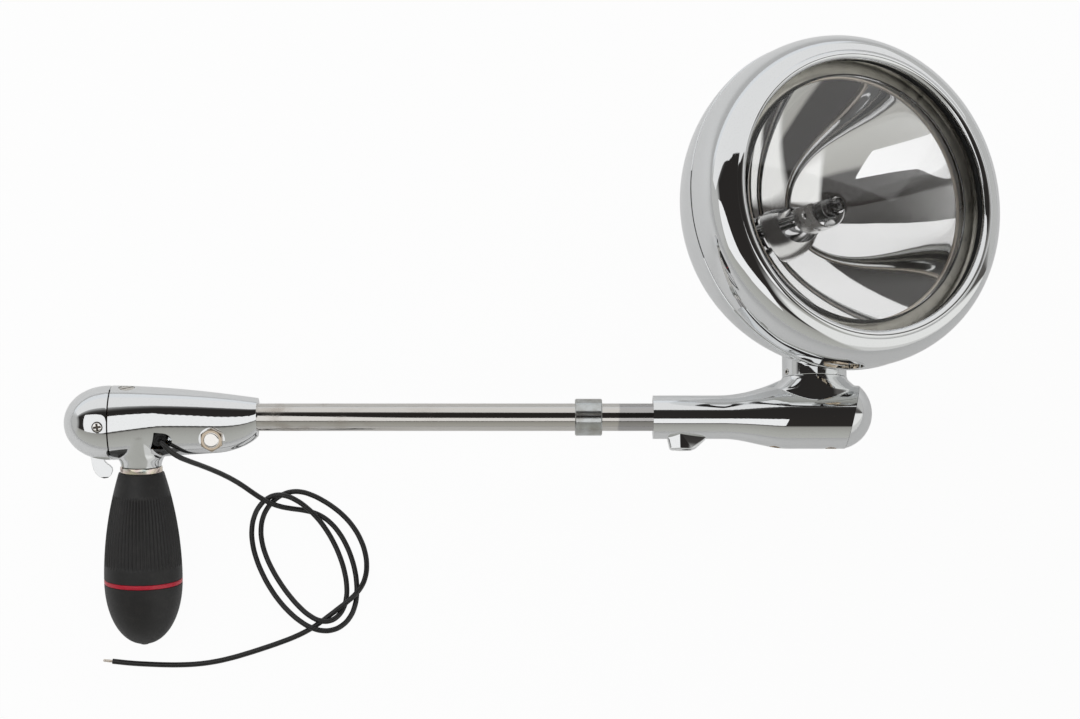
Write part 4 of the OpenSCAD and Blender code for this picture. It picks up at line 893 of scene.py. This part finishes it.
bowl_out = bowl_curve(bowl_r, [(90 - seam_angle) * k / 90 for k in range(91)])
bowl_in = bowl_curve(bowl_r - bowl_wall, [(90 - seam_angle - 3) * k / 60 for k in range(60, -1, -1)])
seam_r = bowl_out[-1][0]
bowl_flange = [
    (seam_r - 0.25, seam_t - 0.25), (seam_r - 0.5, seam_t), (flange_r, seam_t), (flange_r, seam_t + 3),
    (flange_r - bezel_wall, seam_t + 3), (flange_r - bezel_wall, seam_t - 4)]
bowl = turned("bowl_spun", bowl_out[:-1] + bowl_flange + bowl_in, head_place, 256)
cut(bowl, rod("stem_hole", stem_hole_r, 10, 45, stem_place))
screw_t, pad_r = 36.9, 82.6
pad_place = head_place @ rotated(-3, "Z") @ shifted(0, 0, screw_t) @ rotated(90, "X")


def pad_oval(name, r, z0, z1):
    """An oval block at the bezel's screw, along the screw."""
    half = [(5.4 + r * sind(a), r * cosd(a)) for a in range(0, 181, 6)]
    return plate(name, half + [(-x, -y) for x, y in half], z0, z1, pad_place)


cut(bowl, pad_oval("flange_notch", 7.9, pad_r - 1.7, 95))
softened(bowl, 35)
bowl_finish = plated("bright chrome sheet", chrome_colour, 0.015, 0.045, 22)
finish_piece(bowl, "head", "chrome", bowl_finish, "bowl")


# Bezel
# A deep plated ring with a full round shoulder, a fine crease and a rolled front bead holds the
# lamp. A dished pad under it takes the brassy screw that draws it on to the bowl.
shoulder_t, crease_r, bead_r = seam_t + 6.2, lip_r + 2.4, 2.6
round_t = crest_t - 1.2


def shoulder_curve(inner, outer, top, angles):
    """Profile points of the shoulder's full round, at angles from its widest place."""
    return [(inner + (outer - inner) * cosd(a) ** 0.9, shoulder_t + (top - shoulder_t) * sind(a) ** 0.9)
            for a in angles]


shoulder = shoulder_curve(crease_r, bezel_r, round_t, [77 * k / 36 for k in range(37)])
bead = arc(bead_r, range(36, 232, 7), lip_r, crest_t - bead_r)
bezel_inside = shoulder_curve(
    crease_r - 0.4, bezel_r - bezel_wall, round_t - bezel_wall, range(75, -1, -5))
bezel = ring("bezel_ring", [
    (bezel_r - bezel_wall, seam_t + 0.1), (bezel_r - 0.7, seam_t + 0.1), (bezel_r - 0.2, seam_t + 0.35),
    (bezel_r, seam_t + 0.9), (bezel_r, seam_t + 3)] + shoulder + bead + [
    (lip_r - 0.6, crest_t - 2 * bead_r - 0.6), (crease_r - 0.8, crest_t - 2 * bead_r)] + bezel_inside,
    head_place, 288)
cut(bezel, pad_oval("pad_cup", 7.6, pad_r - 1.4, pad_r + 1.6), how="UNION")
cut(bezel, pad_oval("pad_dish", 6.2, pad_r, 95), rod("screw_hole", 2.05, 70, 95, pad_place))
softened(bezel, 38)
finish_piece(bezel, "head", "chrome", bowl_finish, "bezel")
bezel_screw = turned("bezel_slotted_screw", [
    (0, 0), (1.6, -0.15), (2.8, -0.6), (3.6, -1.3), (4.1, -2.3), (4.1, -3), (2, -3), (2, -12.7),
    (0, -12.7)], steps=64)
cut(bezel_screw, box("slot", (-6, -0.6, -1.2), (6, 0.6, 1)))
edged(bezel_screw, 0.08, 2, 50)
settle(bezel_screw, pad_place @ shifted(0, 0, pad_r + 3) @ rotated(25, "Z"))
pale_brass_finish = plated("pale brass screw", (0.82, 0.69, 0.54), 0.18, 0.34, 260)
finish_piece(bezel_screw, "head", "yellow_zinc", pale_brass_finish, "bezel_screw")


# Lamp
# A sealed beam: a clear domed lens and an aluminised pressed-glass reflector, fused at the rim, on
# a rubber gasket behind the bead. A halogen capsule with its shield stands at the focus.
glass_wall, mirror_r, lens_dome = 3.5, glass_r - 9, 260.0
glass_t = crest_t - 9.6
mouth_t = glass_t - 10
vertex_t = bowl_ahead - bowl_r + 19.5
capsule_r = 6.0
capsule_t = vertex_t + 3.4
lens_r, lens_hollow = lip_r - 3, mirror_r - 1
lens_t = glass_t + lens_dome - math.sqrt(lens_dome ** 2 - lens_r ** 2)
gasket = ring("lens_gasket_ring", [
    (lip_r - 1.4, glass_t + 0.1), (lip_r - 1.8, glass_t + 0.8), (lip_r - 1.7, crest_t - 7),
    (lip_r - 1.2, crest_t - 6), (glass_r + 0.4, crest_t - 6), (glass_r + 0.4, glass_t + 0.1)],
    head_place, 192)
finish_piece(gasket, "head", "black_rubber", rubber_finish, "lens_gasket")


def lens_curve(top, big, radii):
    """Profile points of the lens at these radii: a sphere of a big radius with its top there."""
    return [(r, top + (math.sqrt(big * big - r * r) - big)) for r in radii]


lens_front = lens_curve(lens_t, lens_dome, [lens_r * k / 24 for k in range(25)])
lens_back = lens_curve(
    lens_t - glass_wall, lens_dome - glass_wall, [lens_hollow * k / 20 for k in range(20, -1, -1)])
lens_rim = [(71.6, glass_t + 0.04), (72.6, glass_t - 0.4), (glass_r, glass_t - 1.2), (glass_r, mouth_t),
            (mirror_r, mouth_t), (mirror_r, glass_t - glass_wall)]
lens = turned("lamp_lens_glass", lens_front + lens_rim + lens_back, head_place, 192)
glass_finish = Finish("clear pressed glass", (1, 1, 1), roughness=0.0, transmission_weight=1.0)
glass_finish.shader.inputs["IOR"].default_value = 1.48
finish_piece(lens, "head", "lens_glass", glass_finish, "lamp_lens")


def mirror_depth(r, vertex):
    """Height at r from the lamp's axis of a parabola from that vertex to the lamp's mouth."""
    return vertex + (mouth_t - vertex) * (r / mirror_r) ** 2


seat_r = capsule_r + 3
mirror_vertex = -9.0
mirror_rows = [capsule_r - 1 + (mirror_r - capsule_r + 1) * k / 40 for k in range(41)]
back_rows = [seat_r + (mirror_r - seat_r) * k / 40 for k in range(40)]
mirror_back = mouth_t - glass_wall
mirror_profile = [(r, mirror_depth(r, mirror_vertex)) for r in mirror_rows]
mirror_profile += [(glass_r, mouth_t), (glass_r, mirror_back), (mirror_r + 4, mirror_back)]
mirror_profile += [(r + glass_wall * 0.8, mirror_depth(r, vertex_t) - glass_wall)
                   for r in reversed(back_rows)]
mirror_profile += [(seat_r, vertex_t + 1.5)]
reflector = ring("lamp_reflector_shell", mirror_profile, head_place, 192)
mirror_finish = Finish("aluminised reflector", (0.95, 0.95, 0.95), metallic=1, roughness=0.02)
mirror_wave = mirror_finish.noise(45, 2)
mirror_finish.gloss(mirror_wave, 0.2, 0.9, 0.03, 0.02)
mirror_finish.relief(mirror_wave, 0.12, 0.2)
finish_piece(reflector, "head", "mirror", mirror_finish, "lamp_reflector")
rim_finish = Finish("bare glass rim", (0.5, 0.48, 0.42), roughness=0.3, metallic=1)
rim_cloud = rim_finish.noise(120, 4)
rim_finish.tint(rim_cloud, 0, 1, (0.66, 0.64, 0.57), (0.48, 0.46, 0.4))
reflector.data.materials.append(rim_finish.material)
for face in reflector.data.polygons:
    if (head_place.inverted() @ face.center).xy.length > (mirror_r + 0.1) * mm:
        face.material_index = 1
seal_bead = ring("lamp_seal_bead", [
    (mirror_r - 0.2, mouth_t + 0.1), (mirror_r - 1.2, mouth_t + 0.3), (mirror_r - 1.4, mouth_t + 1.1),
    (mirror_r - 1, mouth_t + 1.8), (mirror_r - 0.2, mouth_t + 2)], head_place, 192)
seal_finish = Finish("baked seal bead", (0.8, 0.72, 0.62), roughness=0.4, metallic=0.8)
seal_cloud = seal_finish.noise(300, 4)
seal_finish.tint(seal_cloud, 0, 1, (0.92, 0.84, 0.74), (0.74, 0.64, 0.53))
finish_piece(seal_bead, "head", "ceramic", seal_finish)
keep_node(seal_finish, "lamp_insulator")
tip, bulb_r, bulb_bore = 23.0, 5.2, 4.2
capsule_profile = [(0, capsule_t), (4.4, capsule_t), (4.8, capsule_t + 4), (4.9, mirror_vertex),
                   (bulb_r, mirror_vertex + 4)] + arc(bulb_r, range(0, 90, 10), 0, tip)
capsule_profile += [(0.9, tip + 5.4), (0.6, tip + 6.4), (0, tip + 6.6), (0, tip + bulb_bore)]
capsule_profile += arc(bulb_bore, range(80, -1, -10), 0, tip)
capsule_profile += [(bulb_bore, mirror_vertex + 8), (0, mirror_vertex + 7)]
capsule = turned("lamp_capsule_glass", capsule_profile, head_place, 64)
finish_piece(capsule, "head", "lens_glass", glass_finish, "lamp_capsule")
shield = ring("lamp_shield_band", [
    (9.4, -3), (9.9, -3.2), (10.1, -2.6), (10.1, 15.6), (9.9, 16.2), (9.4, 16), (9.3, 15.4), (9.3, -2.4)],
    steps=96)
cut(shield, box("shield_top", (-20, 2, -10), (20, 20, 30)))
cut(shield, *[rod("shield_hole", 2.2, 4, 14, shifted(0, 0, 8) @ rotated(around, "Z") @ along_x)
              for around in (196, 258)])
seated(shield, head_place)
shield_finish = plated("satin shield", (0.93, 0.93, 0.92), 0.2, 0.34, 120)
finish_piece(shield, "head", "steel", shield_finish, "lamp_shield")
supports = joined("lamp_support_wires", [
    rod("support_wire", 0.75, capsule_t, 6, rotated(around, "Z") @ shifted(8.7, 0, 0))
    for around in (186, 354)])
seated(supports, head_place)
finish_piece(supports, "head", "steel", steel_finish, "lamp_supports")
filament = joined("lamp_filament_coil", [rod("filament_coil", 0.9, 8, 16)] + [
    rod("filament_lead", 0.35, capsule_t + 6, top, shifted(side, 0, 0))
    for side, top in ((-1.2, 8.4), (1.2, 15.6))])
seated(filament, head_place)
finish_piece(filament, "head", "steel", steel_finish, "lamp_filament")


# Table and light
# The light lies on a plain white table in a pale studio. Two lit sheets stand before it, a lower one
# that widens to the left and an upper one, with darkness round the camera between them.
bpy.context.scene.view_settings.view_transform = "Standard"
table_level = -47.7
table = started("table", bpy.ops.mesh.primitive_plane_add, size=6)
settle(table, shifted(0, 0, table_level))
table_finish = Finish("white table", (0.93, 0.93, 0.93), roughness=0.6)
seen = table_finish.node("LightPath", out="Is Camera Ray")
mirrored = table_finish.node("LightPath", out="Is Glossy Ray")
mirrored += table_finish.node("LightPath", out="Is Transmission Ray")
glow = table_finish.node("Emission", inputs={"Color": (1, 1, 1, 1), "Strength": 1.0})
table_surface = table_finish.node("MixShader", inputs={
    0: seen * 0.96 + table_finish.between(mirrored, 0, 1) * 0.25,
    1: Value(table_finish.tree, table_finish.shader.outputs[0]), 2: glow})
table_out = table_finish.tree.nodes["Material Output"].inputs["Surface"]
table_finish.tree.links.new(table_surface.socket, table_out)
table.data.materials.append(table_finish.material)

world = bpy.data.worlds.new("studio")
bpy.context.scene.world = world
world.use_nodes = True


class Studio(Finish):
    """The world's own node tree, built the same way."""

    def __init__(self, tree):
        self.tree = tree
        self.shader = tree.nodes["Background"]


studio = Studio(world.node_tree)
look = studio.node("TexCoord", out="Generated")


def facing(way):
    """How far a direction points a given way."""
    return studio.node("VectorMath", {"operation": "DOT_PRODUCT"}, {0: look, 1: way}, out="Value")


up_way = Vector((0, math.cos(camera_tilt), math.sin(camera_tilt)))
toward_camera = facing(tuple(to_camera))
toward_top = facing(tuple(up_way))
toward_right = facing((1, 0, 0))
sweep = toward_top.join("ARCTAN2", toward_top, toward_camera)
grey_wall = (0.55, 0.55, 0.54)
wall_stops = [(-180, (0.76, 0.79, 0.82)), (-120, (0.6, 0.61, 0.61)), (-85, (0.52, 0.52, 0.495)),
              (-58, (0.46, 0.46, 0.43)), (-36, (0.37, 0.365, 0.34)), (-31, (0.03, 0.027, 0.025)),
              (34, (0.026, 0.024, 0.023)), (40, (0.09, 0.088, 0.085)), (50, (0.5, 0.5, 0.5)),
              (62, (0.78, 0.79, 0.8)), (75, (0.86, 0.875, 0.885)), (95, (0.84, 0.865, 0.89)),
              (180, (0.76, 0.79, 0.82))]
right_stops = [(-180, (0.78, 0.79, 0.8)), (-60, (0.7, 0.7, 0.68)), (-50, (0.92, 0.92, 0.9)),
               (-4, (0.92, 0.92, 0.9)), (6, (0.09, 0.085, 0.08)), (26, (0.12, 0.115, 0.11)),
               (46, grey_wall), (90, grey_wall), (180, (0.7, 0.71, 0.72))]
wall, right_side = [studio.node("ValToRGB", {"stops": [
    ((angle + 180) / 360, (*colour, 1)) for angle, colour in stops]},
    {"Fac": sweep * (0.5 / math.pi) + 0.5}) for stops in (wall_stops, right_stops)]
right_wall = studio.between(toward_right, 0.47, 0.56)
left_wall = studio.between(toward_right, -0.9, -0.96)
wall = studio.mixed(right_wall, wall, right_side)
wall = studio.mixed(left_wall, wall, grey_wall)
studio.feed("Color", wall)
studio.shader.inputs["Strength"].default_value = 1.0


def white_sheet(name, edges, distance, strength):
    """A lit sheet; its edges are (x, lower angle, upper angle) as seen from the post."""
    sheet = started(name, bpy.ops.mesh.primitive_grid_add, x_subdivisions=len(edges) - 1,
                    y_subdivisions=1, size=1)
    for number, corner in enumerate(sheet.data.vertices):
        x, low, high = edges[number % len(edges)]
        angle = math.radians(high if number >= len(edges) else low)
        way = to_camera * math.cos(angle) + up_way * math.sin(angle)
        corner.co = Vector((x, 0, 0.01)) + way * distance
    sheet_finish = Finish(name, (0, 0, 0), emission_strength=strength)
    sheet_finish.shader.inputs["Emission Color"].default_value = (1, 1, 1, 1)
    sheet.data.materials.append(sheet_finish.material)
    sheet.visible_camera = False


white_sheet("lower_sheet", [
    (-0.62, -35, 33), (-0.4, -34, 28), (-0.3, -32, 23), (-0.25, -31, 19), (-0.22, -30, 16),
    (-0.19, -30, 11), (-0.17, -30, 7), (-0.15, -30, 3), (-0.13, -31, -1), (-0.11, -31, -4),
    (-0.08, -31, -5), (-0.03, -31, -6), (0.04, -31, -6), (0.092, -31, -6), (0.118, -9, -6)], 0.33, 1.0)
white_sheet("upper_sheet", [
    (-1.3, 50, 84), (-0.6, 49, 84), (-0.3, 48, 84), (-0.22, 47, 84), (-0.12, 44, 84), (-0.02, 41, 84),
    (0.1, 40, 84), (0.3, 40, 84), (0.8, 42, 84)], 0.45, 0.86)
